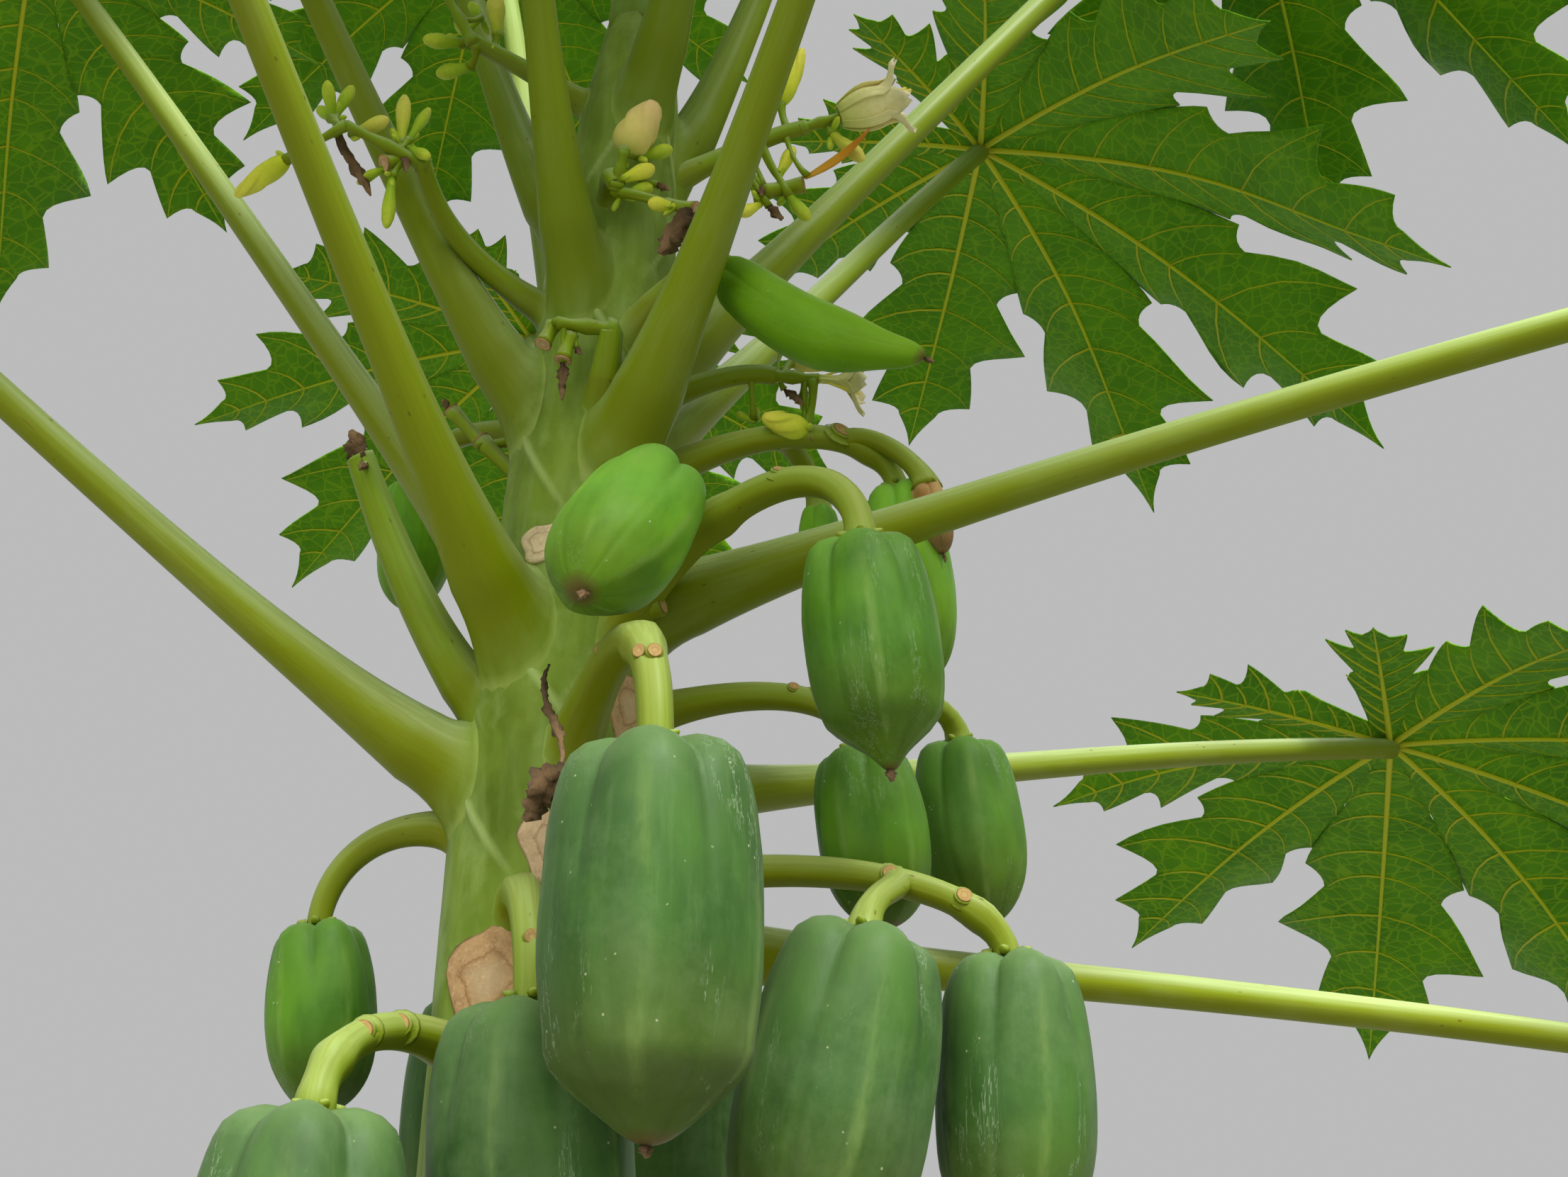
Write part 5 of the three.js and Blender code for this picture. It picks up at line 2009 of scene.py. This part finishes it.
@dataclass
class FruitStalks:
    """Forked stalks that the fruit hang from, with the scars of fruit that fell."""

    skin: StemSkin
    cut: CutEnd
    form: LimbForm = LimbForm(
        clear=0.012, spread=0.007, heel=0.008, foot_rings=7, sides=16, steps=48, ribs=(5, 0.05))
    sink: float = 0.005
    swelling: float = 0.8
    knot: float = 0.24
    swelling_run: float = 0.009
    sepals: int = 5
    sepal_size: float = 0.0055
    sepal_ring: float = 0.0135
    finish: StalkFinish = StalkFinish("fruit_stalk_skin", paint(128, 140, 2), paint(130, 152, 18),
                                      paint(138, 160, 50), bloom=paint(164, 182, 100))
    corky: ScarFinish = ScarFinish("stub_face", paint(206, 184, 120), paint(190, 144, 84))
    stalks: Shape = field(default_factory=Shape)
    ends: Shape = field(default_factory=Shape)

    def build(self) -> list[bpy.types.Object]:
        """Grows the stalks, then the stubs and the small sepals on the fruit.

        Returns:
            The finished pieces.
        """
        for bunch in BUNCHES:
            marks = [mark for mark in STUBS if mark.bunch == bunch.name]
            curve = self.add_bunch(bunch, [mark.at for mark in marks])
            for mark in marks:
                self.add_stub(curve, mix(*bunch.radius, mark.at), mark)
            for fruit in bunch.fruit:
                self.add_sepals(fruit)
        return [
            dress(self.stalks.piece("fruit_stalks", [self.finish.material()])),
            dress(self.ends.piece("fruit_stalk_stubs", [self.corky.material()])),
        ]

    def add_bunch(self, bunch: Bunch, knots: list[float]) -> Bezier:
        """Adds one forked stalk.

        Args:
            bunch: The bunch.
            knots: Places of the knots on its main stalk.

        Returns:
            The middle line of its main stalk.
        """
        thick, thin = bunch.radius
        start = STEM.middle(bunch.height)
        main = Bezier(start, start)
        for fruit in bunch.fruit:
            end = fruit.top + fruit.way * self.sink
            last = min(thin, fruit.width / 4)
            if fruit.branch is None:
                way = heading(bunch.azimuth, bunch.rise) * bunch.push
                main = Bezier(start, start + way, end + UP * fruit.hang, end)

                def radius_at(clear: np.ndarray, curve: Bezier = main, last: float = last) -> np.ndarray:
                    """Gives the stalk's radius, swollen at the stem, at each knot and at the fruit."""
                    share = clear / curve.length
                    swell = self.swelling * np.exp(-(curve.length - clear) / self.swelling_run)
                    for knot in knots:
                        swell = swell + self.knot * bell((share - knot) * curve.length, self.swelling_run)
                    return mix(thick, last, share) * (1 + swell) + 0.004 * np.exp(-clear / 0.02)

                grow_limb(self.stalks, self.skin, main, radius_at, self.form)
            else:
                at, azimuth, rise, push = fruit.branch
                fork = main.point(at)
                curve = Bezier(fork, fork + heading(azimuth, rise) * push, end + UP * fruit.hang, end)
                share = np.linspace(0, 1, 19)
                clear = share * curve.length
                radii = mix(mix(thick, thin, at) * 0.95, last, share)
                radii = radii * (1 + self.swelling * np.exp(-(curve.length - clear) / self.swelling_run))
                radii = radii + 0.0015 * np.exp(-clear / 0.012)
                self.stalks.add_tube(curve.points(share), radii, self.form.sides, 0.5 + share / 2,
                                     ribs=self.form.ribs, shift=at * 9)
        return main

    def add_stub(self, curve: Bezier, thick: float, mark: Stub) -> None:
        """Adds one stub: a green neck on the stalk, and a corky end on the neck.

        Args:
            curve: Middle line of the stalk.
            thick: Radius of the stalk there.
            mark: Where the stub is.
        """
        way = heading(mark.azimuth, mark.rise)
        foot = curve.point(mark.at) + way * thick * 0.55
        share = np.linspace(0, 1, 8)
        line = foot + np.outer(share * (mark.length + thick * 0.5), way)
        radii = mark.radius * (1 + 0.8 * (1 - share) ** 2 + 0.22 * bell(share - 0.86, 0.2))
        self.stalks.add_tube(line, radii, 14, 0.6)
        self.cut.add(self.ends, line[-1] - way * 0.002, way, mark.radius * 1.75, 0.3)

    def add_sepals(self, fruit: Fruit) -> None:
        """Adds the small sepals where the stalk meets the fruit.

        Args:
            fruit: The fruit.
        """
        across, over = cross_ways(fruit.way)
        size = min(self.sepal_size, fruit.width * 0.09)
        radius = min(self.sepal_ring, fruit.width * 0.17)
        for number in range(self.sepals):
            turn = math.radians(360 / self.sepals * (number + 0.5))
            out = across * math.cos(turn) + over * math.sin(turn)
            foot = fruit.top + out * radius * 0.62 - fruit.way * size * 0.1
            line = np.stack([foot, foot + out * size * 0.5, foot + out * size * 0.9 - fruit.way * size * 0.2])
            self.stalks.add_tube(line, np.array((0.5, 0.42, 0.14)) * size, 8, 0.8)


class Kind(Enum):
    """Kinds of small parts on a flower spray."""

    GREEN = 0
    YELLOW = 1
    CREAM = 2
    BLUSH = 3
    STUB = 4
    DRIED = 5
    PETAL = 6


@dataclass(frozen=True)
class Bit:
    """One small part of a spray: its foot and tip, each an azimuth, a distance out and a height."""

    kind: Kind
    foot: tuple[float, float, float]
    tip: tuple[float, float, float]
    width: float


BITS = {
    "flower_spray_left": (
        Bit(Kind.GREEN, (206, 0.171, 2.291), (209, 0.18, 2.309), 0.008),
        Bit(Kind.GREEN, (206, 0.171, 2.292), (205, 0.163, 2.318), 0.008),
        Bit(Kind.GREEN, (206, 0.172, 2.291), (201, 0.178, 2.307), 0.007),
        Bit(Kind.CREAM, (208, 0.161, 2.281), (214, 0.146, 2.288), 0.009),
        Bit(Kind.CREAM, (213, 0.136, 2.276), (211, 0.137, 2.311), 0.009),
        Bit(Kind.GREEN, (214, 0.133, 2.278), (210, 0.121, 2.309), 0.007),
        Bit(Kind.GREEN, (214, 0.132, 2.274), (222, 0.127, 2.261), 0.007),
        Bit(Kind.GREEN, (213, 0.138, 2.256), (215, 0.138, 2.22), 0.008),
        Bit(Kind.YELLOW, (203, 0.19, 2.267), (194, 0.214, 2.257), 0.013),
        Bit(Kind.STUB, (213, 0.135, 2.267), (213, 0.143, 2.262), 0.008),
        Bit(Kind.DRIED, (206, 0.168, 2.284), (209, 0.145, 2.246), 0.008),
        Bit(Kind.DRIED, (214, 0.134, 2.272), (218, 0.135, 2.253), 0.005),
        Bit(Kind.GREEN, (212, 0.142, 2.26), (206, 0.152, 2.256), 0.006),
    ),
    "flower_spray_top_left": (
        Bit(Kind.GREEN, (196, 0.103, 2.375), (198, 0.127, 2.371), 0.01),
        Bit(Kind.GREEN, (198, 0.096, 2.359), (190, 0.116, 2.36), 0.01),
        Bit(Kind.GREEN, (198, 0.093, 2.374), (189, 0.11, 2.4), 0.009),
        Bit(Kind.CREAM, (200, 0.085, 2.38), (204, 0.091, 2.404), 0.012),
        Bit(Kind.GREEN, (198, 0.095, 2.392), (193, 0.103, 2.408), 0.007),
    ),
    "flower_spray_front": (
        Bit(Kind.BLUSH, (276, 0.05, 2.286), (291, 0.061, 2.316), 0.024),
        Bit(Kind.GREEN, (286, 0.048, 2.286), (307, 0.054, 2.294), 0.009),
        Bit(Kind.YELLOW, (277, 0.058, 2.264), (294, 0.062, 2.273), 0.01),
        Bit(Kind.GREEN, (278, 0.053, 2.257), (296, 0.057, 2.264), 0.009),
        Bit(Kind.DRIED, (296, 0.057, 2.266), (304, 0.061, 2.262), 0.006),
        Bit(Kind.YELLOW, (304, 0.072, 2.245), (291, 0.068, 2.246), 0.009),
        Bit(Kind.STUB, (301, 0.066, 2.249), (309, 0.08, 2.243), 0.007),
        Bit(Kind.DRIED, (309, 0.079, 2.242), (299, 0.072, 2.214), 0.018),
    ),
    "flower_spray_right": (
        Bit(Kind.CREAM, (3, 0.12, 2.337), (358, 0.141, 2.311), 0.01),
        Bit(Kind.PETAL, (359, 0.107, 2.301), (352, 0.144, 2.323), 0.0065),
        Bit(Kind.YELLOW, (4, 0.091, 2.306), (3, 0.099, 2.327), 0.0085),
        Bit(Kind.YELLOW, (7, 0.083, 2.291), (1, 0.071, 2.278), 0.008),
        Bit(Kind.GREEN, (3, 0.098, 2.294), (3, 0.112, 2.277), 0.009),
        Bit(Kind.STUB, (6, 0.084, 2.298), (4, 0.106, 2.302), 0.009),
        Bit(Kind.DRIED, (5, 0.084, 2.302), (2, 0.082, 2.292), 0.006),
        Bit(Kind.DRIED, (5, 0.086, 2.289), (5, 0.096, 2.279), 0.007),
        Bit(Kind.YELLOW, (4, 0.088, 2.357), (4, 0.099, 2.398), 0.0135),
    ),
    "flower_spray_right_lower": (
        Bit(Kind.BLUSH, (358, 0.108, 2.179), (2, 0.149, 2.185), 0.013),
        Bit(Kind.YELLOW, (358, 0.121, 2.135), (348, 0.098, 2.137), 0.016),
        Bit(Kind.GREEN, (357, 0.091, 2.141), (1, 0.09, 2.153), 0.007),
        Bit(Kind.GREEN, (358, 0.117, 2.161), (3, 0.121, 2.151), 0.008),
        Bit(Kind.DRIED, (358, 0.105, 2.163), (354, 0.118, 2.148), 0.006),
        Bit(Kind.DRIED, (358, 0.119, 2.141), (356, 0.125, 2.128), 0.006),
        Bit(Kind.DRIED, (358, 0.102, 2.187), (358, 0.111, 2.193), 0.005),
    ),
    "spent_stalk_front": (
        Bit(Kind.STUB, (250, 0.058, 2.175), (247, 0.061, 2.163), 0.008),
        Bit(Kind.STUB, (260, 0.057, 2.168), (258, 0.058, 2.153), 0.008),
        Bit(Kind.DRIED, (258, 0.058, 2.153), (260, 0.057, 2.129), 0.006),
        Bit(Kind.DRIED, (263, 0.056, 2.162), (267, 0.056, 2.156), 0.004),
    ),
    "spent_stalk_left": (
        Bit(Kind.DRIED, (198, 0.121, 2.1), (197, 0.13, 2.12), 0.012),
        Bit(Kind.DRIED, (200, 0.12, 2.098), (208, 0.126, 2.088), 0.006),
        Bit(Kind.STUB, (161, 0.034, 2.108), (166, 0.065, 2.139), 0.009),
        Bit(Kind.STUB, (166, 0.063, 2.136), (169, 0.084, 2.158), 0.008),
        Bit(Kind.STUB, (166, 0.063, 2.136), (161, 0.05, 2.139), 0.006),
        Bit(Kind.DRIED, (169, 0.084, 2.157), (171, 0.09, 2.165), 0.006),
    ),
}


@dataclass
class Sprays:
    """Flower sprays: stalks, buds, open flowers, cut ends and what has withered."""

    skin: StemSkin
    cut: CutEnd
    form: LimbForm = LimbForm(clear=0.009, spread=0.005, heel=0.006, foot_rings=6, sides=14, steps=30)
    sink: float = 0.003
    nearest: float = 0.05
    sepals: int = 5
    petals: int = 5
    full_from: float = 0.0125
    bud_profile: tuple[tuple[float, float], ...] = (
        (0.0, 0.4), (0.03, 0.52), (0.12, 0.56), (0.26, 0.62), (0.4, 0.78), (0.55, 0.95), (0.69, 1.0),
        (0.82, 0.88), (0.92, 0.62), (0.98, 0.3), (1.0, 0.06),
    )
    full_profile: tuple[tuple[float, float], ...] = (
        (0.0, 0.36), (0.03, 0.58), (0.1, 0.78), (0.2, 0.92), (0.32, 1.0), (0.45, 1.0), (0.58, 0.93),
        (0.7, 0.82), (0.81, 0.68), (0.9, 0.52), (0.96, 0.36), (1.0, 0.1),
    )
    stalk: StalkFinish = StalkFinish(
        "flower_stalk_skin", paint(136, 150, 12), paint(140, 168, 22), paint(130, 164, 26))
    bud_skins: tuple[PlainFinish, ...] = (
        PlainFinish("bud_green", paint(126, 164, 18), paint(168, 196, 40), paint(202, 212, 62), flesh=0.05),
        PlainFinish("bud_yellow", paint(194, 208, 38), paint(226, 228, 68), paint(236, 226, 86), flesh=0.05),
        PlainFinish("bud_cream", paint(166, 186, 34), paint(208, 208, 74), paint(226, 214, 100), flesh=0.05),
        PlainFinish("bud_blush", paint(208, 202, 96), paint(234, 214, 122), paint(240, 202, 142), flesh=0.05),
    )
    petal_skins: tuple[PlainFinish, ...] = (
        PlainFinish("petal_skin", paint(200, 206, 106), paint(240, 230, 160), paint(250, 236, 194),
                    flesh=0.05),
        PlainFinish("dry_petal", paint(196, 150, 40), paint(210, 146, 34), paint(186, 112, 30)),
        PlainFinish("stamens", paint(222, 206, 60), paint(236, 220, 84), paint(240, 228, 120)),
    )
    dry_skin: PlainFinish = PlainFinish("withered_skin", paint(60, 46, 30), paint(114, 90, 60),
                                        paint(150, 120, 84), roughness=0.9, relief=0.001)
    bud: Template = field(init=False)
    full_bud: Template = field(init=False)
    stalks: Shape = field(default_factory=Shape)
    buds: Shape = field(default_factory=Shape)
    flowers: Shape = field(default_factory=Shape)
    ends: Shape = field(default_factory=Shape)
    withered: Shape = field(default_factory=Shape)

    def __post_init__(self) -> None:
        """Models the two buds that all are copied from."""
        self.bud = Template.taken(extruded_rings(14, self.bud_profile))
        full = extruded_rings(20, self.full_profile)
        finish_modifier(full, "SUBSURF", levels=1, render_levels=1)
        self.full_bud = Template.taken(full)

    def build(self) -> list[bpy.types.Object]:
        """Grows every spray.

        Returns:
            The finished pieces.
        """
        for number, spray in enumerate(SPRAYS):
            self.add_spray(spray, number)
        self.add_remains()
        made = []
        for name, shape, skins, nodes in (
            ("flower_stalks", self.stalks, [self.stalk], [spray.name for spray in SPRAYS]),
            ("flower_buds", self.buds, self.bud_skins, []),
            ("open_flowers", self.flowers, self.petal_skins, []),
            ("flower_stalk_ends", self.ends, [ScarFinish("end_face")], []),
            ("withered_flowers", self.withered, [self.dry_skin], []),
        ):
            made.append(dress(shape.piece(name, [skin.material() for skin in skins]), nodes))
        return made

    def add_spray(self, spray: Spray, seed: int) -> None:
        """Adds one spray: its stalk by the rule of its solid, and its small parts.

        Args:
            spray: The spray.
            seed: Seed of its small differences.
        """
        thick, thin = spray.radius
        start = STEM.middle(spray.height)
        tip = STEM.beside(*spray.end)
        bow = start + heading(spray.azimuth, spray.rise) * (float(STEM.radius(spray.height)) + spray.push)
        azimuth, rise, length = spray.rachis
        onward = heading(azimuth, rise)
        curve = Bezier(start, bow, tip)

        def radius_at(clear: np.ndarray) -> np.ndarray:
            """Gives the stalk's radius, swollen at the stem."""
            return mix(thick, thin, clear / curve.length) + 0.003 * np.exp(-clear / 0.018)

        grow_limb(self.stalks, self.skin, curve, radius_at, replace(self.form, ribs=spray.ribs),
                  tint=0.15, onward=tip + onward * 0.002)
        share = np.linspace(0, 1, 9)
        line = tip + np.outer(share * length - self.sink * (1 - share), onward)
        knots = 1 + 0.18 * np.cos(share * 4 * np.pi)
        self.stalks.add_tube(line, thin * (1 - 0.4 * share) * knots, 12, 0.6 + 0.4 * share, tint=0.15)
        body = np.concatenate([curve.points(np.linspace(0.4, 1, 60)), line])
        for number, bit in enumerate(BITS.get(spray.name, ())):
            self.add_bit(bit, body, 20 * seed + number)
        if spray.bloom:
            self.add_flower(tip + onward * (length - 0.002), onward, spray.bloom, seed, spray.star)

    def add_bit(self, bit: Bit, body: np.ndarray, seed: int) -> None:
        """Adds one small part, with a short neck from the spray to its foot.

        Args:
            bit: The part.
            body: Points along the middle of the spray.
            seed: Seed of its small differences.
        """
        foot = STEM.beside(*bit.foot)
        tip = STEM.beside(*bit.tip)
        way = unit(tip - foot)
        long = float(np.linalg.norm(tip - foot))
        share = np.linspace(0, 1, 7)
        gaps = np.linalg.norm(body - foot, axis=1)
        if 0.002 < gaps.min() < self.nearest:
            near = body[int(np.argmin(gaps))]
            neck = Bezier(near, near * 0.5 + foot * 0.5 - way * 0.004, foot + way * 0.002)
            radii = min(0.0021, bit.width * 0.22) * (1 + 0.7 * (2 * share - 1) ** 2)
            self.stalks.add_tube(neck.points(share), radii, 8, 0.8 + 0.2 * share, tint=0.1)
        if bit.kind is Kind.DRIED:
            self.add_shred(foot + (tip - foot) * np.linspace(0, 1, 14)[:, None], bit.width, seed)
        elif bit.kind is Kind.STUB:
            radii = bit.width / 2 * (0.95 + 0.25 * (2 * share - 1) ** 2)
            self.stalks.add_tube(foot + np.outer(share * long, way), radii, 12, 0.3)
            self.cut.add(self.ends, tip - way * 0.0012, way, bit.width * 1.12, 0.45)
        elif bit.kind is Kind.PETAL:
            self.add_petal(foot, way, long, bit.width, seed)
        else:
            self.add_bud(bit.kind.value, foot, way, long, bit.width)
            chance = random.Random(seed)
            for _ in range(2):
                spread = unit(way + np.array([chance.uniform(-1.6, 1.6) for _ in range(3)]))
                small = chance.uniform(0.3, 0.55)
                self.add_bud(0, foot - spread * 0.001, spread, 0.026 * small, 0.009 * small)

    def add_petal(self, foot: np.ndarray, way: np.ndarray, length: float, width: float, seed: int) -> None:
        """Adds one dry petal that hangs by itself.

        Args:
            foot: Its foot.
            way: Where it points.
            length: Its length.
            width: Its width.
            seed: Seed of its turn.
        """
        share = np.linspace(0, 1, 9)[:, None]
        side = np.linspace(-1, 1, 5)[None]
        beside = unit(np.cross(way, heading(seed * 40, 20)))
        out = np.cross(way, beside)
        wide = width / 2 * np.sin(np.pi * (0.12 + 0.84 * share)) * side
        bend = 0.004 * np.sin(3 * share)
        points = foot + way * (share * length)[..., None] + beside * wide[..., None] + out * bend[..., None]
        self.add_sheet(points, share, 0.0007, out, 1)

    def add_bud(self, finish: int, foot: np.ndarray, way: np.ndarray, length: float, width: float) -> None:
        """Adds one bud.

        Args:
            finish: Number of its finish.
            foot: Its foot.
            way: Where it points.
            length: Its length.
            width: Its width.
        """
        large = width > self.full_from
        model = self.full_bud if large else self.bud
        east, north, tall = model.points.T
        turned = self.sepals * (np.arctan2(north, east) + (2.4 if large else 1.2) * tall)
        fold = np.mod(turned / (2 * np.pi), 1) if large else 0.5 + 0.5 * np.cos(turned)
        furrow = 1 - (0.2 if large else 0.12) * fold * smooth((tall - 0.15) / 0.4)
        shaped = np.stack([east * furrow, north * furrow, tall], axis=-1)
        placed = Template(shaped, model.faces).placed(foot, way, length, width, spin=width * 9e4)
        grain = shaped * (width, width, length) + foot * 7
        self.buds.add(placed, model.faces, finish, grain, along=tall, edge=0.4 * fold)

    def add_flower(self, throat: np.ndarray, way: np.ndarray, length: float, seed: int, star: bool) -> None:
        """Adds an open flower.

        Args:
            throat: Foot of the flower.
            way: Where it opens to.
            length: Its length.
            seed: Seed of its small differences.
            star: Whether its petals spread flat, rather than stand in a bell.
        """
        chance = random.Random(seed)
        across, over = cross_ways(way)
        along = np.linspace(0, 1, 11)[:, None]
        side = np.linspace(-1, 1, 7)[None]
        if star:
            wide = length * (0.03 + 0.19 * np.sin(np.pi * np.clip((along - 0.3) / 0.74, 0, 1)))
            bell_out = length * (0.06 + 0.55 * smooth((along - 0.35) / 0.8))
            height = length * (1.1 * along - 0.25 * smooth((along - 0.4) / 0.6))
        else:
            wide = length * (0.22 * np.sin(np.pi * (0.2 + 0.76 * along) ** 1.1) + 0.02)
            bulge = 0.1 * np.sin(np.pi * np.clip(along * 1.25, 0, 1))
            bell_out = length * (0.13 + bulge + 0.34 * smooth((along - 0.58) / 0.42))
            height = length * (along - 0.1 * smooth((along - 0.7) / 0.3))
        cup = length * 0.05 * side**2 * (1 - 0.5 * along)
        curl = smooth((along - 0.65) / 0.35) * length * 0.12 * (1 - np.abs(side))
        for number in range(self.petals):
            turn = math.radians(360 / self.petals * number + 14 * chance.uniform(-1, 1))
            out = across * math.cos(turn) + over * math.sin(turn)
            beside = np.cross(way, out)
            wave = length * 0.035 * np.sin(4 * side + 8 * along + number) * along**2
            reach = bell_out - cup + wave
            points = (throat + way * (height - curl * 0.4)[..., None] + out * reach[..., None]
                      + beside * (wide * side)[..., None])
            self.add_sheet(points, along, 0.0008, out)
        self.add_stamens(throat, way, length, chance, star)

    def add_stamens(self, throat: np.ndarray, way: np.ndarray, length: float, chance: random.Random,
                    star: bool) -> None:
        """Adds the stamens of an open flower.

        Args:
            throat: Foot of the flower.
            way: Where it opens to.
            length: Its length.
            chance: Where the small differences come from.
            star: Whether its petals spread flat.
        """
        spread, longest = (0.3, 0.8) if star else (0.16, 1.0)
        for number in range(9):
            lean = unit(way + spread * np.array([chance.uniform(-1, 1) for _ in range(3)]))
            line = throat + np.outer(np.linspace(0.1, chance.uniform(0.6, longest), 5) * length, lean)
            self.flowers.add_tube(line, np.array((0.02, 0.02, 0.025, 0.05, 0.02)) * length, 6, number / 9, 2)

    def add_sheet(self, points: np.ndarray, along: np.ndarray, thickness: float, out: np.ndarray,
                  finish: int = 0) -> None:
        """Adds a petal as a closed thin sheet.

        Args:
            points: Grid of points of its inner face.
            along: Share of its length, row by row.
            thickness: Its thickness.
            out: Direction of its outer face.
            finish: Number of its finish.
        """
        loop = np.concatenate([points, (points + out * thickness)[:, ::-1]], axis=1)
        self.flowers.add_rings(loop, finish, along=along)

    def add_remains(self) -> None:
        """Adds the dry remains at the fruit's tips, and the strand beside the front fruit."""
        share = np.linspace(0, 1, 8)[:, None]
        for bunch in BUNCHES:
            for number, fruit in enumerate(bunch.fruit):
                end = fruit.top + fruit.way * fruit.length * 0.992
                self.add_shred(end + fruit.way * share * 0.006, min(0.008, fruit.width * 0.11), 50 + number)
        for width, seed, count, places in (
            (0.0055, 3, 40, ((272, 0.075, 1.972), (270, 0.1, 1.95), (276, 0.13, 1.925),
                             (281, 0.152, 1.905), (278, 0.158, 1.89))),
            (0.026, 9, 16, ((279, 0.155, 1.895), (276, 0.166, 1.885), (275, 0.15, 1.872))),
        ):
            curve = Bezier(*[STEM.beside(*place) for place in places])
            self.add_shred(curve.points(np.linspace(0, 1, count)), width, seed)

    def add_shred(self, line: np.ndarray, width: float, seed: int) -> None:
        """Adds a crumpled dry remain along a line.

        Args:
            line: Points of its middle.
            width: Its width.
            seed: Seed of its folds.
        """
        share = np.linspace(0, 1, len(line))
        rings, _ = tube_rings(line, width / 2 * np.sin(np.pi * (0.1 + 0.8 * share)), 14)
        for row, ring in enumerate(rings):
            for number, point in enumerate(ring):
                spot = Vector((point - line[row]) * (3.5 / width)) + Vector((seed * 3.1, row * 0.4, 0))
                ring[number] = line[row] + (point - line[row]) * (0.25 + 1.7 * abs(noise.noise(spot)))
        self.withered.add_rings(rings, along=share[:, None])


@dataclass(frozen=True)
class Studio:
    """Floor, light and camera round the tree, with each light's turn, strength and width."""

    camera: tuple[float, float, float] = (0.127, -1.10, 1.60)
    pitch: float = 22.0
    lens: float = 50.0
    film: float = 36.0
    floor: float = 14.0
    floor_drop: float = 0.001
    sky: float = 0.55
    lights: tuple[tuple[str, tuple[float, float, float], float, float], ...] = (
        ("key", (33, 0, 34), 5.6, 26),
        ("fill", (58, 0, -24), 1.3, 50),
        ("rim", (40, 0, 165), 0.8, 50),
    )

    def build(self) -> None:
        """Sets up the floor, the light and the camera."""
        self.lay_floor()
        self.hang_lights()
        camera = bpy.data.cameras.new("camera")
        camera.lens = self.lens
        camera.sensor_width = self.film
        camera.clip_start = 0.02
        body = bpy.data.objects.new("camera", camera)
        body.location = self.camera
        body.rotation_euler = (math.radians(90 + self.pitch), 0, 0)
        bpy.context.scene.collection.objects.link(body)
        bpy.context.scene.camera = body
        bpy.context.scene.view_settings.view_transform = "Standard"

    def lay_floor(self) -> None:
        """Lays a plain pale floor just under the tree."""
        deselect()
        bpy.ops.mesh.primitive_circle_add(vertices=96, radius=self.floor, fill_type="NGON",
                                          location=(0, 0, -self.floor_drop))
        floor = bpy.context.object
        floor.name = "floor"
        wiring = Wiring("floor_paint", roughness=0.8)
        clouds = wiring.noise(wiring.place(), 3, 3)
        wiring.colour(wiring.ramp(clouds, (0.3, paint(120, 121, 117)), (0.7, paint(126, 127, 123))))
        floor.data.materials.append(wiring.material)

    def hang_lights(self) -> None:
        """Hangs a soft key, a fill and a rim light, under an even sky."""
        world = bpy.data.worlds.new("sky")
        world.use_nodes = True
        sky = world.node_tree.nodes["Background"]
        sky.inputs["Color"].default_value = (0.9, 0.91, 0.9, 1)
        sky.inputs["Strength"].default_value = self.sky
        bpy.context.scene.world = world
        for name, turn, energy, angle in self.lights:
            light = bpy.data.lights.new(name, "SUN")
            light.energy = energy
            light.angle = math.radians(angle)
            body = bpy.data.objects.new(name, light)
            body.rotation_euler = tuple(math.radians(part) for part in turn)
            bpy.context.scene.collection.objects.link(body)


def main() -> None:
    """Builds the looks of the tree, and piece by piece."""
    logging.basicConfig(level=logging.INFO, format="%(message)s", stream=sys.stdout)
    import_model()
    deselect()
    scars = LeafScars()
    skin = StemSkin(scars.spiral())
    skin.build()
    scars.build(skin)
    LeafStalks().build(skin)
    LeafBlades().build()
    YoungLeaves().build()
    Fruits().build()
    cut = CutEnd()
    FruitStalks(skin, cut).build()
    Sprays(skin, cut).build()
    Studio().build()
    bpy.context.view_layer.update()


if __name__ == "__main__":
    main()
